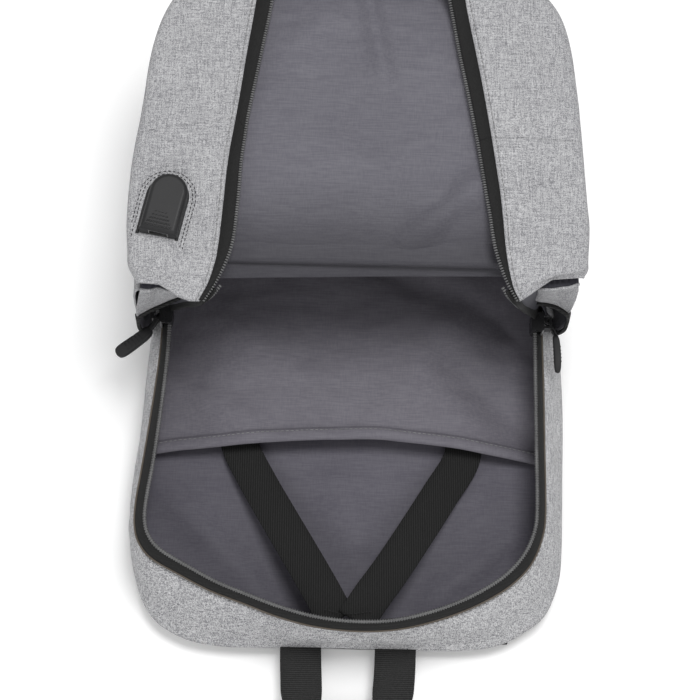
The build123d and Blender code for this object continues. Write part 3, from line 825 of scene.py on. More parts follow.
sections = [compartmentSection(y) for y in np.linspace(0.0185, 0.195, 60)]
sections += [compartmentSection(lowerBox["cornerStart"] + 0.0185 * math.sin(t))
             for t in np.linspace(0.1, math.pi / 2, 10)]
for k in (0.985, 0.93, 0.8, 0.6, 0.4, 0.2, 0.002):
    # ever lower arches close the end
    arch = compartmentSection(lowerBox["end"])
    arch[:, 0] *= 1 - 0.5 * (1 - k)
    arch[:, 2] = 0.0128 + (arch[:, 2] - 0.0128) * k
    sections.append(arch)
compartment = cloth("lowerCompartment", sections, canvas, liningDark, lowerBox["thickness"], canvas,
                    True)
finishPiece(compartment, "root", "grey_canvas", "side_wall_left", "side_wall_right",
            "bottom_wall", "front_lower_lining", "front_lower_foam", "front_lower_cover")
for sign, side in ((-1, "Left"), (1, "Right")):
    seam = [(sign * 0.1352 * sideShare(y, 0.073, sign), y, 0.0733)
            for y in np.linspace(0.021, 0.196, 60)]
    finishPiece(tube("pinchSeam" + side, seam, 0.0017, bindingCloth, 8), "root", "zipper_edge")
edge = [(s * 0.1463 * sideShare(y, 0.149, s), y, 0.1492)
        for s, ys in ((-1, np.linspace(0.022, 0.205, 50)), (1, np.linspace(0.205, 0.022, 50)))
        for y in ys]
finishPiece(tube("frontPanelPiping", edge, 0.0014, bindingCloth, 6), "root", "binding")
print("lower compartment ready")


# front flap, folded back

flapSeamLeft = mm((-150.5, 17, 157), (-152, 40, 157), (-151, 73, 157), (-149, 94, 157),
                  (-146.3, 113, 157), (-144.5, 130, 157), (-143, 147, 157), (-140, 168, 157),
                  (-134.5, 188, 157), (-126, 205, 157), (-112, 222, 157), (-92, 236, 157),
                  (-66, 243.5, 157), (-33, 247, 157), (0, 247.5, 157))
flapSeamRight = mm((150.5, 17, 157), (152, 40, 157), (151, 58, 157), (149.3, 95, 157),
                   (148, 118, 157), (146.5, 139, 157), (144, 166, 157), (140.5, 185, 157),
                   (135.5, 199, 157), (127, 211, 157), (112, 225, 157), (92, 237, 157),
                   (66, 244, 157), (33, 247, 157), (0, 247.5, 157))
flap = {"rollEnd": 0.068, "rollDrop": 0.0180, "height": 0.1631,
        "crease": [(-0.150, 0.003), (-0.084, 0.0048), (0.008, 0.0082), (0.104, 0.0106),
                   (0.150, 0.0110)],
        "folds": [((0.078, 0.066), (0.030, 0.022), 0.011, 0.0055),
                  ((0.040, 0.078), (0.070, 0.034), 0.014, -0.0035),
                  ((0.004, 0.210), (0.015, 0.150), 0.007, 0.0042),
                  ((-0.060, 0.120), (0.010, 0.070), 0.020, 0.0022),
                  ((-0.055, 0.030), (0.000, 0.045), 0.012, 0.0020),
                  ((0.000, 0.110), (0.060, 0.135), 0.018, -0.0020),
                  ((-0.050, 0.160), (-0.020, 0.195), 0.013, 0.0025)]}


def flapHalf(c, y):
    # half width of the flap at y, on the side that c is on
    seam = flapSeamLeft if c < 0 else flapSeamRight
    return abs(np.interp(y, seam[:, 1], seam[:, 0]))


def noseY(x):
    # where the fold's nose lies
    xs, ys = zip(*flap["crease"])
    return np.interp(x, xs, ys)


flapY = np.concatenate([np.linspace(0.0175, 0.236, 120), 0.2475 - np.geomspace(0.011, 0.0004, 8)])
liningRows = []
columns = np.linspace(-1, 1, 121)


def rollDrop(c):
    # how far the lining comes down at the nose
    return flap["rollDrop"] * mix(1, 0.85, smooth(0.78, 1.0, abs(c)))


for y, z in ((0.062, 0.1418), (0.045, 0.1418), (0.030, 0.1418), (0.021, 0.1419)):
    liningRows.append([(c * 0.143, y, z) for c in columns])
for angle in np.linspace(-70, 0, 9)[:-1]:
    a = math.radians(angle)
    liningRows.append([(c * 0.142, noseY(c * 0.142) + 0.0045 * (1 - math.cos(a)),
                        flap["height"] - rollDrop(c) + 0.0026 * math.sin(a)) for c in columns])


def flapTop(c, y):
    # the lining falls away in a wide soft roll towards the fold
    x = c * mix(0.142, flapHalf(c, y) - 0.0025, smooth(0.014, 0.034, y))
    nearEdge = smooth(0.78, 1.0, abs(c))
    farEdge = smooth(0.225, 0.247, y)
    rise = foldHeight(x, y, flap["folds"]) + 0.0011 * lump(x, y, 0, 24, 6.0) + 0.0005 * lump(
        x * 0.5, y * 1.7, 0, 75, 2.0)
    puff = 0.0030 * math.sin(math.pi * min(max((y - 0.010) / 0.235, 0), 1)) ** 0.5
    start = smooth(0.010, 0.040, y)
    z = flap["height"] + (max(rise, -0.0006) + puff) * (1 - nearEdge) * start
    z -= 0.0035 * max(nearEdge ** 2, farEdge ** 2) * start
    slope = min(max((flap["rollEnd"] - y) / (flap["rollEnd"] - noseY(x)), 0), 1)
    z -= rollDrop(c) * slope ** 2.2
    return (x, y, z)


for t in np.linspace(0, 1, 26):
    liningRows.append([flapTop(c, mix(noseY(c * 0.142), flap["rollEnd"], t ** 1.3))
                       for c in columns])
for y in flapY[flapY > flap["rollEnd"] + 0.001]:
    liningRows.append([flapTop(c, y) for c in columns])
flapLining = cloth("flapLining", liningRows, liningMid, liningMid, 0.0005)
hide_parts("flap_lining", "flap_board", "fold_roll")
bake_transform(flapLining)

coverRows = [[(c * 0.1455, y, 0.1502) for c in columns] for y in (0.034, 0.026, 0.0195)]
for angle in np.linspace(-80, 80, 9):
    a = math.radians(angle)
    coverRows.append([(c * 0.1455, 0.017 - 0.0026 * math.cos(a), 0.1526 + 0.0026 * math.sin(a))
                      for c in columns])
for y in flapY:
    row = []
    for c in columns:
        turnUp = 0.0022 * max(smooth(0.97, 1.0, abs(c)), smooth(0.240, 0.2475, y))
        row.append((c * mix(0.1455, flapHalf(c, y), smooth(0.0175, 0.03, y)), y, 0.1552 + turnUp))
    coverRows.append(row)
flapCover = cloth("flapCover", np.array(coverRows)[:, ::-1], canvas, liningMid, 0.0012)
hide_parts("flap_cover")
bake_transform(flapCover)
print("flap ready")


# flap gussets, lying over the flap, and its end wall

gussets = {
    -1: {"side": "left", "Side": "Left",
         "seam": mm((-145.5, -5, 158.5), (-149.5, 6, 157.5), *(flapSeamLeft * 1000)),
         "edge": mm((-103.5, -18, 163.5), (-97, -5, 168), (-92.5, 15, 170), (-90, 45, 170),
                    (-87.5, 80, 170), (-84, 105, 170), (-82, 120, 170), (-79.5, 140, 170),
                    (-77.5, 157, 170), (-75, 175, 170.5), (-72.5, 193, 171.5),
                    (-70.5, 206, 175), (-66, 215, 185), (-58, 223, 198), (-44, 229, 209),
                    (-23, 231, 214.5), (0, 231.5, 216)),
         "tape": mm((-101, -17.5, 162), (-91.5, -3, 167), (-83.5, 18, 170.5), (-80.5, 48, 170.5),
                    (-79, 77, 171), (-77, 96, 171), (-75.5, 110, 171), (-72, 132, 171),
                    (-69, 150, 171), (-66, 168, 171.5), (-62.5, 188, 173), (-60, 202, 178),
                    (-56, 210, 189), (-50, 218, 204), (-39, 225, 217), (-21, 227.5, 223.5),
                    (0, 228, 225.5)),
         "shape": ([0, .36, .52, .66, .84, 1], [0, 3.3, 1.3, -1.4, -1.9, 0]), "seed": 21.0,
         "folds": [((-0.100, 0.085), (-0.140, 0.120), 0.007, 0.0010),
                   ((-0.098, 0.010), (-0.120, 0.010), 0.004, 0.0012),
                   ((-0.105, 0.170), (-0.135, 0.150), 0.009, 0.0016)]},
    1: {"side": "right", "Side": "Right",
        "seam": mm((149.5, 6, 158.5), (150.3, 10, 157.5), *(flapSeamRight * 1000)),
        "edge": mm((106, -13, 163.5), (101, -4, 168), (97, 17, 170), (95, 43, 170),
                   (93.3, 62, 170), (89, 95, 170), (86, 116, 170), (82.5, 139, 170),
                   (78, 165, 170), (75, 181, 170.5), (72, 197, 171.5), (70, 207, 175),
                   (65, 216, 185), (57, 223, 198), (43, 229, 209), (22, 231, 214.5),
                   (0, 231.5, 216)),
        "tape": mm((104.5, -12.5, 162), (96.5, 0, 167), (89.5, 20, 170.5), (86, 45, 170.5),
                   (83.5, 60, 171), (79, 92, 171), (76, 110, 171), (71.5, 136, 171),
                   (67, 160, 171), (64, 178, 171.5), (61, 195, 173), (58.5, 204, 178),
                   (54, 211, 189), (48, 218, 204), (37, 225, 217), (20, 227.5, 223.5),
                   (0, 228, 225.5)),
        "shape": ([0, .23, .49, .67, .84, 1], [0, 3.3, 7.1, 4.7, 2.0, 0]), "seed": 37.0,
        "folds": [((0.131, 0.006), (0.146, 0.030), 0.0035, 0.0018),
                  ((0.105, 0.100), (0.140, 0.130), 0.008, 0.0013),
                  ((0.108, 0.165), (0.132, 0.148), 0.009, 0.0016)]}}
bandCount = 230


def gussetLines(g):
    # seam, canvas edge and tape edge, matched point for point
    return [matched(g[key], bandCount) for key in ("seam", "edge", "tape")]


def bandPoint(g, seam, edge, u, near):
    # one point of the side band: u runs from the seam to its zipper, near is 1 at the fold
    upright = smooth(0.176, 0.222, edge[2])
    base = seam + (edge - seam) * u
    out = (seam - edge) * (1, 1, 0)
    out = out / max(np.linalg.norm(out), 1e-9)
    over = 0.0092 * (1 - u) * (1 - math.exp(-u / 0.03)) * (1 - upright * 0.85) * (1 - 0.8 * near)
    belly = 0.0030 * math.exp(-((u - 0.035) / 0.05) ** 2) * (1 - near) + (
        upright * 0.004 * math.sin(math.pi * u))
    ripple = 0.0012 * lump(base[0], base[1], base[2], 22, g["seed"]) + 0.0005 * lump(
        base[0], base[1], base[2], 70, g["seed"])
    corner = upright * (1 - upright) * 4 * 0.004 * math.sin(u * 9 + seam[0] * 60)
    fade = math.sin(math.pi * min(u * 1.05, 1)) ** 0.5 if u > 0 else 0
    point = base + out * belly
    point[2] += over + (ripple + corner) * fade + foldHeight(base[0], base[1], g["folds"])
    return point


def bandRows(g, first, last):
    seamLine, edgeLine = g["lines"][:2]
    rows = []
    us = np.concatenate([[0, 0.012, 0.025, 0.04, 0.06], np.linspace(0.085, 1, 34)])
    for k in range(first, last):
        row = []
        near = 1 - smooth(0, 16, k)
        for u in us:
            point = bandPoint(g, seamLine[k], edgeLine[k], u, near)
            point[1] += np.interp(u, *g["shape"]) * 0.001 * near
            row.append(point)
        rows.append(row)
    rows = np.array(rows)
    if first == 0:
        # the end by the fold is turned under
        turn = rows[0] - (0, 0.0004, 0.0014)
        back = rows[2] - (0, 0, 0.0034)
        rows = np.concatenate([[back], [turn], rows])
    return rows


def cutAt(line, y):
    # index of the first point beyond y
    return int(np.argmax(line[:, 1] > y))


nearEnd, farEnd = 0.100, 0.2464
for sign, g in gussets.items():
    g["lines"] = gussetLines(g)
    seamLine, edgeLine, tapeLine = g["lines"]
    cut = cutAt(seamLine, nearEnd)
    ends = cutAt(seamLine, farEnd)
    body = "gusset_" + g["side"]
    for part, first, last in (("Near", 0, cut + 1), ("Far", cut, ends + 1)):
        rows = bandRows(g, first, last)
        if sign > 0:
            rows = rows[:, ::-1]
        band = cloth("gusset" + g["Side"] + part, rows, canvas, canvas, 0.0014, canvas)
        edge, tape = edgeLine[first:last], tapeLine[first:last]
        over = np.array([mix(edge, tape, t) + (0, 0, 0.0009 * math.sin(math.pi * t))
                         for t in (-0.28, 0.0, 0.25, 0.5, 0.75, 1.0)])
        over[0] -= (0, 0, 0.0016)
        over[1] -= (0, 0, 0.0010)
        strip = cloth("gussetTape" + g["Side"] + part, over, tapeCloth, tapeCloth, 0.0009)
        teeth = beads("gussetTeeth" + g["Side"] + part, tape + (0, 0, 0.0006), coilPitch,
                      (0.00125, 0.0030, 0.0026), coilNylon)
        sewn = beads("gussetStitches" + g["Side"] + part,
                     mix(edgeLine, seamLine, 0.045)[first:last] + (0, 0, 0.0016),
                     stitchPitch, (0.0024, 0.0006, 0.0005), threadGrey)
        for piece, slotName in ((band, "grey_canvas"), (strip, "zipper_tape"),
                                (teeth, "zipper_coil"), (sewn, "grey_canvas")):
            if part == "Near":
                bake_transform(piece)
            else:
                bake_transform(piece)
        if part == "Near":
            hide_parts(body)
            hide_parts("gusset_zipper_" + g["side"])

leftG, rightG = gussets[-1], gussets[1]
cutL = cutAt(leftG["lines"][0], farEnd)
cutR = cutAt(rightG["lines"][0], farEnd)
left = bandRows(leftG, cutL, bandCount)
right = bandRows(rightG, cutR, bandCount)[::-1]
endWall = cloth("flapEndWall", np.concatenate([left, right[1:]]), canvas, liningMid, 0.0014,
                canvas)
finishPiece(endWall, "front_flap", "grey_canvas", "flap_end_wall")
endEdge = np.concatenate([leftG["lines"][1][cutL:], rightG["lines"][1][cutR:][::-1][1:]])
endInner = np.concatenate([leftG["lines"][2][cutL:], rightG["lines"][2][cutR:][::-1][1:]])
endStrip = cloth("flapEndTape", np.array([mix(endEdge, endInner, t)
                                          for t in (-0.28, 0, 0.25, 0.5, 0.75, 1)]),
                 tapeCloth, tapeCloth, 0.0009)
finishPiece(endStrip, "front_flap", "zipper_tape", "flap_end_tape")
finishPiece(beads("flapEndTeeth", endInner, coilPitch, (0.00125, 0.003, 0.003), coilNylon,
                  up=(0, 1, 0.2)), "front_flap", "zipper_coil", "flap_end_chain")
print("gussets ready")


# folds, pockets and tape ends beside the flap fold

# left (-1) and right (1): lips of the folded band, its lower lip, and the pocket's front edge
sides = {
    -1: {"side": "left", "Side": "Left",
         "upperLip": mm((-143.5, -6.3, 149.5), (-137, -7.2, 150.2), (-131.5, -5.6, 150.2),
                        (-125, -7, 149.5), (-118, -6, 147), (-112, 0, 143)),
         "lowerLip": mm((-148, -11, 108), (-139.5, -5.6, 109), (-132, -2, 110),
                        (-126, 0.6, 111), (-120, 3.2, 111.5), (-116, 8, 111)),
         "front": mm((-143.5, -6.3, 149.5), (-146.5, -9, 130), (-148, -11, 108),
                     (-148.8, -8.5, 90), (-148.8, -5.6, 72), (-147, -2.4, 55),
                     (-145.5, 3.5, 42), (-144.5, 12, 27)),
         "back": mm((-120, 3.2, 111.5), (-126, 6, 98), (-132, 9, 82), (-136, 11, 66),
                    (-139.5, 12, 46), (-144.5, 12, 27)),
         "hollow": mm((-145, -4.8, 157), (-138.5, -5.2, 157.5), (-131, -5.0, 158),
                      (-124, -8.6, 158.5), (-117, -12, 159), (-110, -13, 159)),
         "tapeEnd": mm((-95, -8, 163.5), (-99.5, -12.5, 159.5), (-104, -12.5, 150),
                       (-109.5, -7, 131), (-116, 0, 110), (-123, 5.5, 90),
                       (-129, 10, 73.5)), "seed": 51.0},
    1: {"side": "right", "Side": "Right",
        "upperLip": mm((147.5, 5, 149), (141, 2, 150), (134.5, 0.9, 150.2), (129, 0, 150.2),
                       (123.5, 0.4, 149.5), (120, 2, 147)),
        "lowerLip": mm((146.6, -0.8, 106), (138.2, 3.2, 110), (131.2, 4.9, 111),
                       (127.5, 5.2, 111), (124.5, 5.8, 111), (121.5, 7.5, 111)),
        "front": mm((147.5, 5, 149), (148, 1.5, 130), (146.6, -0.8, 106), (149, 1.6, 90),
                    (149, 0.6, 75), (147.2, 3.3, 58), (146.5, 8, 43), (145, 14, 27)),
        "back": mm((123, 5.8, 111), (128, 8, 98), (132.5, 10, 82), (136, 12, 66),
                   (139.5, 13.5, 46), (145, 14, 27)),
        "hollow": mm((149, 7, 157), (141, 6, 157.5), (133, 5, 158), (127, 3.6, 158),
                     (122, 1, 158.8), (117.5, -2, 158.5)),
        "tapeEnd": mm((99.5, -5, 163.5), (103, -9, 159.5), (107.5, -9, 150),
                      (112.5, -5, 131), (118, 1, 110), (124, 6, 90), (129, 10, 73.5)),
        "seed": 63.0}}


def between(first, second, count, bulge=(0, 0, 0), crumple=0.0, seed=0.0, scale=60):
    # rows from one line of points to another, bowed by bulge in the middle
    rows = []
    for t in np.linspace(0, 1, count):
        row = mix(first, second, t) + np.array(bulge) * math.sin(math.pi * t)
        wave = np.array([lump(p[0], p[1], p[2], scale, seed) for p in row])
        row = row + np.array([0.35, 1, 0.6]) * (crumple * math.sin(math.pi * t) * wave)[:, None]
        rows.append(row)
    return np.array(rows)


for sign, s in sides.items():
    count = 40
    upper, lower = curveThrough(s["upperLip"], count), curveThrough(s["lowerLip"], count)
    band = cloth("foldBand" + s["Side"], between(upper, lower, 18, (sign * 0.001, -0.0016, 0),
                                                 0.0016, s["seed"]), canvas, liningDark, 0.0010,
                 canvas, sign < 0)
    finishPiece(band, "root", "grey_canvas")
    lip = tube("foldBandLip" + s["Side"], upper, 0.0012, canvas, 8)
    finishPiece(lip, "root", "grey_canvas")

    # pleated hollow above the band, in the darker lining that paints its shade
    start = curveThrough(s["hollow"], count)
    deep = mix(start, upper, 0.5) + np.array([-sign * 0.004, 0.016, 0.0005])
    pleats = np.array([0.0011 * math.sin(k * 1.25) * smooth(0, 5, k) for k in range(count)])
    deep[:, 2] += pleats
    rows = [mix(start, deep, t) for t in np.linspace(0, 1, 8)]
    rows += [mix(deep, upper, t) for t in np.linspace(0, 1, 8)[1:]]
    rows = np.array(rows)
    for k in range(2, 13):
        rows[k][:, 2] += pleats * 0.7
    hollow = cloth("foldHollow" + s["Side"], rows, shadedHollowLining, shadedHollowLining, 0.0004)
    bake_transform(hollow)

    # pocket wall from its front edge back along the bag's side
    front = curveThrough(s["front"], 70)
    settled = np.array([sign * (mix(0.1512, 0.1500, smooth(0.06, 0.02, p[2])) if p[2] < 0.143
                                else mix(0.1512, 0.1465, (p[2] - 0.143) / 0.0065))
                        for p in front])
    rows = []
    for v in np.concatenate([np.linspace(0, 0.3, 22), np.linspace(0.3, 1, 40)[1:]]):
        y = front[:, 1] * (1 - v) + 0.197 * v
        settle = smooth(0, 0.16, v)
        x = front[:, 0] * (1 - settle) + settled * settle
        wide = np.sin(np.clip((front[:, 2] - 0.027) / 0.12, 0, 1) * math.pi)
        x = x + sign * wide * (0.0022 * math.sin(math.pi * min(v * 2.4, 1)) - 0.0015 * smooth(
            0.75, 1, v))
        wave = np.array([lump(p[0], yy, p[2], 26, s["seed"]) + 0.4 * lump(
            p[0], yy, p[2], 80, s["seed"]) for p, yy in zip(front, y)])
        x = x + sign * 0.0014 * wave * wide
        share = np.array([sideShare(yy, p[2], sign) for p, yy in zip(front, y)])
        x = x * mix(1, share, smooth(0.0, 0.2, v))
        wall = np.array([wallX(yy, p[2], sign) for p, yy in zip(front, y)])
        proud = np.maximum(np.abs(x), wall + 0.0016)
        sewn = np.maximum(smooth(0.86, 0.99, v), 1 - np.clip((front[:, 2] - 0.027) / 0.012, 0, 1))
        x = sign * mix(proud, wall + 0.0016, sewn * smooth(0.05, 0.25, v))
        rows.append(np.stack([x, y, front[:, 2]], axis=1))
    pocket = cloth("sidePocket" + s["Side"], rows, canvas, liningDark, 0.0011, canvas, sign < 0)
    finishPiece(pocket, "root", "grey_canvas", "pocket_" + s["side"])

    # lining inside the pocket, darker than the lining itself as painted shade, and the band that binds
    # its mouth
    mouth = np.concatenate([curveThrough(s["lowerLip"][:5][::-1], 26),
                            curveThrough(s["front"][2:], 40)[1:]])
    back = curveThrough(s["back"][::-1], 40)[1:-1]
    loop = np.concatenate([mouth, back])
    centre = np.array([sign * 0.141, 0.075, 0.082])
    rows = []
    for t in np.linspace(0.0, 1, 12):
        shrunk = centre + (loop - centre) * (0.985 - 0.80 * t)
        shrunk[:, 1] = loop[:, 1] * (1 - t) + 0.075 * t + 0.0006
        rows.append(shrunk)
    sock = cloth("pocketLining" + s["Side"], np.array(rows), shadedHollowLining, shadedHollowLining, 0.0004)
    finishPiece(sock, "root", "lining")
    bound = ribbon("pocketBinding" + s["Side"], mouth, 0.0052, 0.0022, bindingCloth,
                   up=(sign, -0.25, 0.25))
    finishPiece(bound, "root", "binding")
    if sign < 0:
        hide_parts("pocket_bindings")

    # the flap side's tape runs down from the gusset to the slider
    path = curveThrough(s["tapeEnd"], 60)
    tapeStrip = ribbon("tapeRun" + s["Side"], path, 0.0080, 0.0010, tapeCloth,
                       up=(sign * 0.55, -0.35, 0.75))
    teethRun = beads("tapeRunTeeth" + s["Side"], path + (-sign * 0.0046, 0, 0.0008), coilPitch,
                     (0.00125, 0.003, 0.0028), coilNylon)
    inner = curveThrough(np.array([(sign * 0.142, 0.021, 0.1465), (sign * 0.147, 0.021, 0.13),
                                   (sign * 0.145, 0.021, 0.105), (sign * 0.138, 0.021, 0.085),
                                   (sign * 0.1335, 0.021, 0.0735)]), 60)
    # the web behind the tape takes the darker lining, painted shade
    web = cloth("gussetTurn" + s["Side"], between(path, inner, 14, (0, 0.002, 0), 0.0035,
                                                  s["seed"] + 3, 50), shadedHollowLining, shadedHollowLining,
                0.0004)
    for piece, name in ((tapeStrip, "zipper_tape"), (teethRun, "zipper_coil"), (web, "lining")):
        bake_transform(piece)
print("side folds ready")


# back of the bag: panel, pads

def roundedOutline(width, bottom, top, topRadius, bottomRadius, count=160):
    # points round a rounded rectangle in plan, top is towards -y
    points = []
    corners = ((width - topRadius, top + topRadius, topRadius, 270),
               (width - bottomRadius, bottom - bottomRadius, bottomRadius, 0),
               (-width + bottomRadius, bottom - bottomRadius, bottomRadius, 90),
               (-width + topRadius, top + topRadius, topRadius, 180))
    for x, y, r, start in corners:
        for a in np.linspace(start, start + 90, 14):
            points.append((x + r * math.cos(math.radians(a)), y + r * math.sin(math.radians(a)), 0))
    points = np.array(points + points[:1])
    return curveThrough(points, count + 1)[:-1]


def quilt(name, outline, levels, material):
    # a closed pad from rows of (inset share, z), inset from the outline towards its middle
    middle = outline.copy()
    middle[:, 0] *= 0.15
    middle[:, 1] = outline[:, 1].mean() + (outline[:, 1] - outline[:, 1].mean()) * 0.35
    rows = []
    for share, z in levels:
        row = outline * (1 - share) + middle * share
        row[:, 2] = z
        rows.append(row)
    rows = np.array(rows)
    count = rows.shape[1]
    faces = gridFaces(len(rows), count, closed=True)
    faces += [tuple(range(count)), tuple(range((len(rows) - 1) * count, len(rows) * count))]
    return outward(newPiece(name, rows.reshape(-1, 3), faces, [material]))


lowerEdge = mm((149, 60, 0), (149.5, 120, 0), (149.3, 185, 0), (146, 203, 0), (135, 213, 0),
               (118, 215, 0), (60, 215, 0), (0, 215, 0), (-60, 215, 0), (-118, 215, 0),
               (-135, 213, 0), (-146, 203, 0), (-149.3, 185, 0), (-149, 120, 0), (-147, 60, 0))
aroundPanel = np.concatenate([footLine[::4] * (0.995, 0.995, 0), lowerEdge, footLine[:1] * (
    0.995, 0.995, 0)])
panelOutline = curveThrough(aroundPanel, 301)[:-1]
panel = quilt("backPanel", panelOutline, [(0.30, 0.0133), (0.12, 0.0131), (0.06, 0.0128),
                                          (0.02, 0.0124), (0.006, 0.0130), (0.0, 0.0150),
                                          (0.0, 0.0205), (0.006, 0.0222), (0.05, 0.0226)],
              meshCloth)
finishPiece(panel, "root", "back_mesh", "back_cover", "back_foam")


puff = {"pressure": 4.0, "voxel": 0.0045, "frames": 20, "most": 0.0022}


def inflate(piece):
    # cloth pressure puffs a closed pad up, and no point moves further than the most
    apply(piece, "REMESH", mode="VOXEL", voxel_size=puff["voxel"])
    rest = np.array([v.co for v in piece.data.vertices])
    soft = piece.modifiers.new("cloth", "CLOTH")
    settings = soft.settings
    settings.quality = 5
    settings.mass = 0.2
    settings.use_pressure = True
    settings.uniform_pressure_force = puff["pressure"]
    settings.tension_stiffness = settings.compression_stiffness = 18
    settings.shear_stiffness = 8
    settings.bending_stiffness = 0.8
    settings.effector_weights.gravity = 0
    soft.point_cache.frame_start, soft.point_cache.frame_end = 1, puff["frames"]
    scene = bpy.context.scene
    for number in range(1, puff["frames"] + 1):
        scene.frame_set(number)
    graph = bpy.context.evaluated_depsgraph_get()
    mesh = bpy.data.meshes.new_from_object(piece.evaluated_get(graph))
    moved = np.array([v.co for v in mesh.vertices])
    step = moved - rest
    far = np.linalg.norm(step, axis=1, keepdims=True)
    step = step * np.minimum(1, puff["most"] / np.maximum(far, 1e-9))
    for vertex, place in zip(mesh.vertices, rest + step):
        vertex.co = place
    piece.modifiers.clear()
    piece.data = mesh
    scene.frame_set(1)
    return piece


def pad(name, outline, bottom, top, dimples=()):
    # rounded cushion with a piped edge; dimples are (x, y, half width, half length, depth)
    middle = (bottom + top) / 2
    body = quilt(name, outline, [(0.6, bottom + 0.0004), (0.25, bottom + 0.0002),
                                 (0.10, bottom + 0.0012), (0.04, bottom + 0.003),
                                 (0.012, middle), (0.04, top - 0.003), (0.10, top - 0.0012),
                                 (0.25, top - 0.0002), (0.6, top)], meshCloth)
    inflate(body)
    for vertex in body.data.vertices:
        x, y, z = vertex.co
        press = sum(depth * math.exp(-(((x - cx) / wx) ** 2 + ((y - cy) / wy) ** 2) ** 2)
                    for cx, cy, wx, wy, depth in dimples)
        vertex.co.z = z + press + 0.0004 * lump(x, y, z, 40, 5)
    apply(body, "SUBSURF", levels=1)
    loop = np.concatenate([outline, outline[:1]]) * (0.999, 1, 1) + (0, 0, middle)
    return body, tube(name + "Piping", loop, 0.0016, bindingCloth, 8)


padShapes = {"centre": {"outline": roundedOutline(0.040, 0.150, -0.150, 0.020, 0.020, 150),
                        "z": (0.0004, 0.0125),
                        "dimples": [(0, y, 0.03, 0.004, 0.0020) for y in (-0.075, 0, 0.075)]},
             "lumbar": {"outline": roundedOutline(0.075, 0.026, -0.026, 0.020, 0.020, 120)
                        + (0, 0.180, 0),
                        "z": (0.0004, 0.0125), "dimples": [(0, 0.18, 0.004, 0.02, 0.0020)]}}
for name, shape in padShapes.items():
    body, cordPiece = pad(name + "Pad", shape["outline"], *shape["z"], shape["dimples"])
    finishPiece(body, "root", "back_mesh", name + "_pad")
    finishPiece(cordPiece, "root", "binding")
print("back panel and pads ready")


# shoulder straps

strapOutline = mm((52, -196, 0), (66, -201, 0), (84, -201, 0), (101, -196, 0), (112, -176, 0),
                  (118, -150, 0), (120.5, -115, 0), (121, -70, 0), (121, -20, 0),
                  (119, 20, 0), (116, 44, 0), (111, 59, 0), (98, 62, 0), (85, 59, 0),
                  (79.5, 44, 0), (74, 20, 0), (66, -20, 0), (58, -70, 0), (51, -120, 0),
                  (47.5, -160, 0), (48.5, -184, 0), (52, -196, 0))
shoulder = {"z": (0.0006, 0.0116), "webbing": 0.025, "facing": 0.0014,
            "stitched": mm((78, -190, 0.6), (84, -120, 0.6), (91, -50, 0.6), (96, 10, 0.6),
                           (98, 58, 0.6))}
for sign, side in ((-1, "left"), (1, "right")):
    Side = side.title()
    outline = curveThrough(strapOutline, 221)[:-1] * (sign, 1, 1)
    body, cordPiece = pad("shoulderStrap" + Side, outline, *shoulder["z"])
    finishPiece(body, "shoulder_strap_" + side, "back_mesh", "strap_pad_" + side)
    finishPiece(cordPiece, "shoulder_strap_" + side, "binding")
    # webbing sewn down the outside of the strap
    strip = ribbon("strapFacing" + Side, curveThrough(shoulder["stitched"] * (sign, 1, 1), 70),
                   shoulder["webbing"], shoulder["facing"], webbingCloth)
    finishPiece(strip, "shoulder_strap_" + side, "webbing")
print("shoulder straps ready")


# handle

handle = {"legWidth": 0.0285, "gripWidth": 0.0155, "legThickness": 0.0022, "gripThickness": 0.0050}
handle["line"] = mm((-32, -213, 15.5), (-31.8, -224, 16), (-31.3, -238, 16.4), (-30.4, -252, 16.5),
                    (-27, -266, 16.2), (-17.5, -277.5, 16), (0, -282, 16), (17.5, -277.5, 16),
                    (27.5, -266, 16.2), (31.5, -252, 16.5), (33, -238, 16.4), (33.6, -224, 16),
                    (33.8, -213, 15.5))
handleLine = curveThrough(handle["line"], 120)
share = np.abs(np.linspace(-1, 1, 120))
handleWidth = np.array([mix(handle["gripWidth"], handle["legWidth"], smooth(0.22, 0.62, s))
                        for s in share])
handleThick = np.array([mix(handle["gripThickness"], handle["legThickness"], smooth(0.2, 0.5, s))
                        for s in share])
strap = ribbon("handleWebbing", handleLine, handleWidth, handleThick, webbingCloth)
legStitches = [beads("legStitch", [Vector((x, -0.221, 0.0178)), Vector((x, -0.2185, 0.0178))],
                     0.0026, (0.0022, 0.0006, 0.0005), threadDark) for x in (-0.04, 0.042)]
finishPiece(join("handleStrap", [strap] + legStitches), "carrying_handle", "webbing",
            "handle_webbing")
taper = np.abs(np.linspace(-1, 1, 36)) ** 6
grip = ribbon("handleGrip", handleLine[42:78], 0.0185 - 0.004 * taper, 0.0088 - 0.003 * taper,
              canvas)
apply(grip, "SUBSURF", levels=1)
gripSeam = beads("gripSeam", handleLine[43:77] + (0, 0, 0.0043), 0.0032, (0.0023, 0.0006, 0.0006),
                 threadGrey)
gripSleeve = join("handleGripSleeve", [grip, gripSeam])
finishPiece(gripSleeve, "carrying_handle", "webbing", "handle_grip")
tab = ribbon("handleTab", mm((-49, -214.4, 15), (-25, -214.8, 15), (0, -215, 15),
                             (25, -214.8, 15), (49, -214.4, 15)), 0.0058, 0.0036, bindingCloth,
             up=(0, -1, 0))
finishPiece(tab, "root", "webbing", "handle_tab")
print("handle ready")
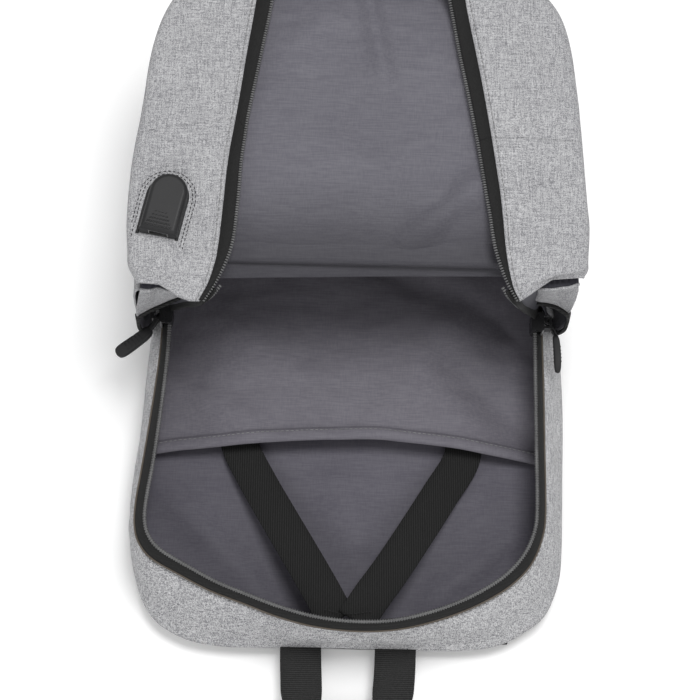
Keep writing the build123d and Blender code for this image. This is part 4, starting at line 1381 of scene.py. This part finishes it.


# strap yoke, webbing and tabs

yoke = ribbon("strapYoke", curveThrough(mm((-112, -207, 9), (-60, -209, 9.2), (0, -210, 9.2),
                                           (60, -209, 9.2), (112, -207, 9)), 60), 0.0105, 0.0055,
              bindingCloth)
yokeThread = [beads("yokeThread", curveThrough(mm((-108, y, z), (-55, y - 1.5, z), (0, y - 2, z),
                                                  (55, y - 1.5, z), (108, y, z)), 50), 0.0036,
                    (0.0025, 0.0006, 0.0005), threadGrey) for y, z in ((-205, 6.3), (-209, 6.3))]
finishPiece(join("strapYokeStitched", [yoke] + yokeThread), "root", "binding", "strap_yoke")
tabs = []
for sign, side in ((-1, "left"), (1, "right")):
    line = mm((98, 84, 5.4), (98, 88, 6.3), (98, 110, 6.1), (98, 150, 6.0), (98, 188, 6.1),
              (98, 199, 7.2)) * (sign, 1, 1)
    piece = ribbon("strapWebbing" + side.title(), curveThrough(line, 90), 0.025, 0.0018,
                   webbingCloth)
    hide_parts("strap_webbing_" + side)
    "shoulder_strap_" + side
    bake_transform(piece)
    tabLine = mm((98, 190.5, 6.6), (98, 198, 8), (98, 206, 9.4), (98, 211, 10.4)) * (sign, 1, 1)
    tabs.append(ribbon("strapTab" + side.title(), curveThrough(tabLine, 24),
                       np.linspace(0.028, 0.040, 24), 0.0030, canvas))
    for y in (0.193, 0.204):
        tabs.append(beads("tabStitch", [Vector((sign * 0.087, y, 0.0062)),
                                        Vector((sign * 0.109, y, 0.0062))], stitchPitch,
                          (0.0024, 0.0006, 0.0006), threadGrey))
finishPiece(join("strapTabs", tabs), "root", "grey_canvas", "strap_tabs")


# zipper pulls

pulls = {"left": {"strap": mm((-134, 6, 70.3), (-136.3, 2.5, 70), (-139, -1.5, 68.8),
                              (-142.5, -6, 67), (-145.5, -9, 66)),
                  "grip": mm((-141, -5, 67.4), (-147.5, -10.5, 65.4), (-156.5, -17, 63.2),
                             (-165, -23, 61.8)), "up": (0.1, 0.1, 1)},
         "right": {"strap": mm((135.3, 5.2, 70), (138.4, 3.2, 69.6), (141, 0, 68.8),
                               (143, -4, 67.5), (143.6, -8, 66.4)),
                   "grip": mm((142.6, -2.5, 67.6), (143.8, -9, 65.6), (144.6, -18, 62.8),
                              (145, -29, 60)), "up": (1, 0.05, 0.12)}}
for side, p in pulls.items():
    path = curveThrough(p["strap"], 30)
    ups = pathFrames(path, p["up"])[2]
    strands = [ribbon("strand", path + ups * d, 0.0034, 0.0011, pullRubber, up=p["up"])
               for d in (-0.0009, 0.0009)]
    loopEnd = tube("loop", [path[0] + ups[0] * 0.0022 * math.cos(a) +
                            (path[0] - path[3]) * 0.9 * math.sin(a)
                            for a in np.linspace(-math.pi / 2, math.pi / 2, 9)], 0.0011,
                   pullRubber, 8)
    body = curveThrough(p["grip"], 44)
    t = np.linspace(-1, 1, 44)
    widths = 0.0078 * (1 - np.abs(t) ** 7) ** 0.5 * (1 - 0.12 * t ** 2) + 0.0008
    widths = widths + 0.0012 * np.clip((t + 0.2), 0, 1)
    depth = 0.0044 * (1 - np.abs(t) ** 6) ** 0.5 + 0.0006
    gripBody = ribbon("gripBody", body, widths, depth, pullRubber, up=p["up"])
    apply(gripBody, "SUBSURF", levels=1)
    across, ups = pathFrames(body, p["up"])[1:]
    ridges = [ribbon("ridge", [body[k] - across[k] * 0.0026, body[k], body[k] + across[k] * 0.0026]
                     + ups[k] * (face * depth[k] * 0.5), 0.0009, 0.0007, pullRubber, up=ups[k])
              for k in range(14, 34, 4) for face in (-1, 1)]
    piece = join("zipperPull" + side.title(), strands + [loopEnd, gripBody] + ridges)
    finishPiece(piece, "pull_" + side, "pull_rubber", "pull_" + side)
print("pulls ready")


# charging port details

port = {"centre": (-0.1286, 0.0439), "tilt": math.radians(-12), "top": 0.1776,
        "flange": 0.0133, "shoulder": 0.0085, "dotRows": 5, "dotPitch": 0.0023}


def portPoint(across, along, z):
    # a place on the port, from its own middle and in its own direction
    c, s = math.cos(port["tilt"]), math.sin(port["tilt"])
    return Vector((port["centre"][0] + across * c - along * s,
                   port["centre"][1] + across * s + along * c, z))


def surfaceUnder(piece):
    # a function that gives the piece's height at a place
    work = bmesh.new()
    work.from_mesh(piece.data)
    tree = BVHTree.FromBMesh(work)
    work.free()

    def height(x, y):
        hit = tree.ray_cast(Vector((x, y, 0.3)), Vector((0, 0, -1)))
        return hit[0].z if hit[0] else 0.168
    return height


dots = []
for row in range(port["dotRows"]):
    for k in range(8 - row):
        across = (k - (7 - row) / 2) * port["dotPitch"]
        spot = portPoint(across, -0.0165 + row * 0.0025, port["top"] + 0.0001)
        radius = 0.00072 - row * 0.00009
        dots.append(beads("dot", [spot - Vector((radius, 0, 0)), spot + Vector((radius, 0, 0))],
                          0.004, (radius * 2, radius * 2, radius * 1.2), bucklePlastic))
finishPiece(join("portDots", dots), "gusset_left", "port_plastic")
height = surfaceUnder(bpy.data.objects["gussetLeftNear"])
portThread = []
for gap in (0.0042, 0.0062):
    ring = []
    half, straight, tail = 0.0125 + gap, 0.0085, -0.021 - gap * 0.6
    for along in np.linspace(tail, straight, 20):
        ring.append((-half, along))
    for a in np.linspace(0, math.pi, 26)[1:-1]:
        ring.append((-half * math.cos(a), straight + half * math.sin(a)))
    for along in np.linspace(straight, tail, 20):
        ring.append((half, along))
    line = []
    for across, along in ring:
        p = portPoint(across, along, 0)
        if p.x > -0.1495:
            line.append((p.x, p.y, height(p.x, p.y) + 0.0002))
    portThread.append(beads("portThread", np.array(line), 0.0030, (0.0020, 0.0006, 0.0005),
                            threadDark))
finishPiece(join("portStitches", portThread), "gusset_left", "port_plastic")
reach, shoulderY = port["flange"], port["shoulder"]
flange = [portPoint(a, b, 0) for a, b in
          [(-reach, y) for y in np.linspace(-0.0205, shoulderY, 10)]
          + [(-reach * math.cos(t), shoulderY + reach * math.sin(t))
             for t in np.linspace(0, math.pi, 20)[1:-1]]
          + [(reach, y) for y in np.linspace(shoulderY, -0.0205, 10)]]
flange = np.array([(p.x, p.y, height(p.x, p.y) + 0.0004) for p in flange])
finishPiece(tube("portFlange", flange, 0.0011, blackPlastic, 8), "gusset_left", "port_plastic")
print("port ready")


# finishes of the hard parts that keep their own shape

keptParts = {"port_housing": blackPlastic, "port_socket": socketSteel, "port_tongue": blackPlastic,
             "slider_left": enamel, "slider_right": enamel, "zipper_stops": enamel,
             "ladder_lock_left": bucklePlastic, "ladder_lock_right": bucklePlastic,
             "charge_controller": blackPlastic, "solar_backing": boardBlack,
             "solar_cells": cellGlass, "solar_cover": filmClear, "solar_border": bindingCloth}
for name, material in keptParts.items():
    mesh = nodes[name].data
    mesh.materials.clear()
    mesh.materials.append(material)


# bounds of everything shown

low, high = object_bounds()
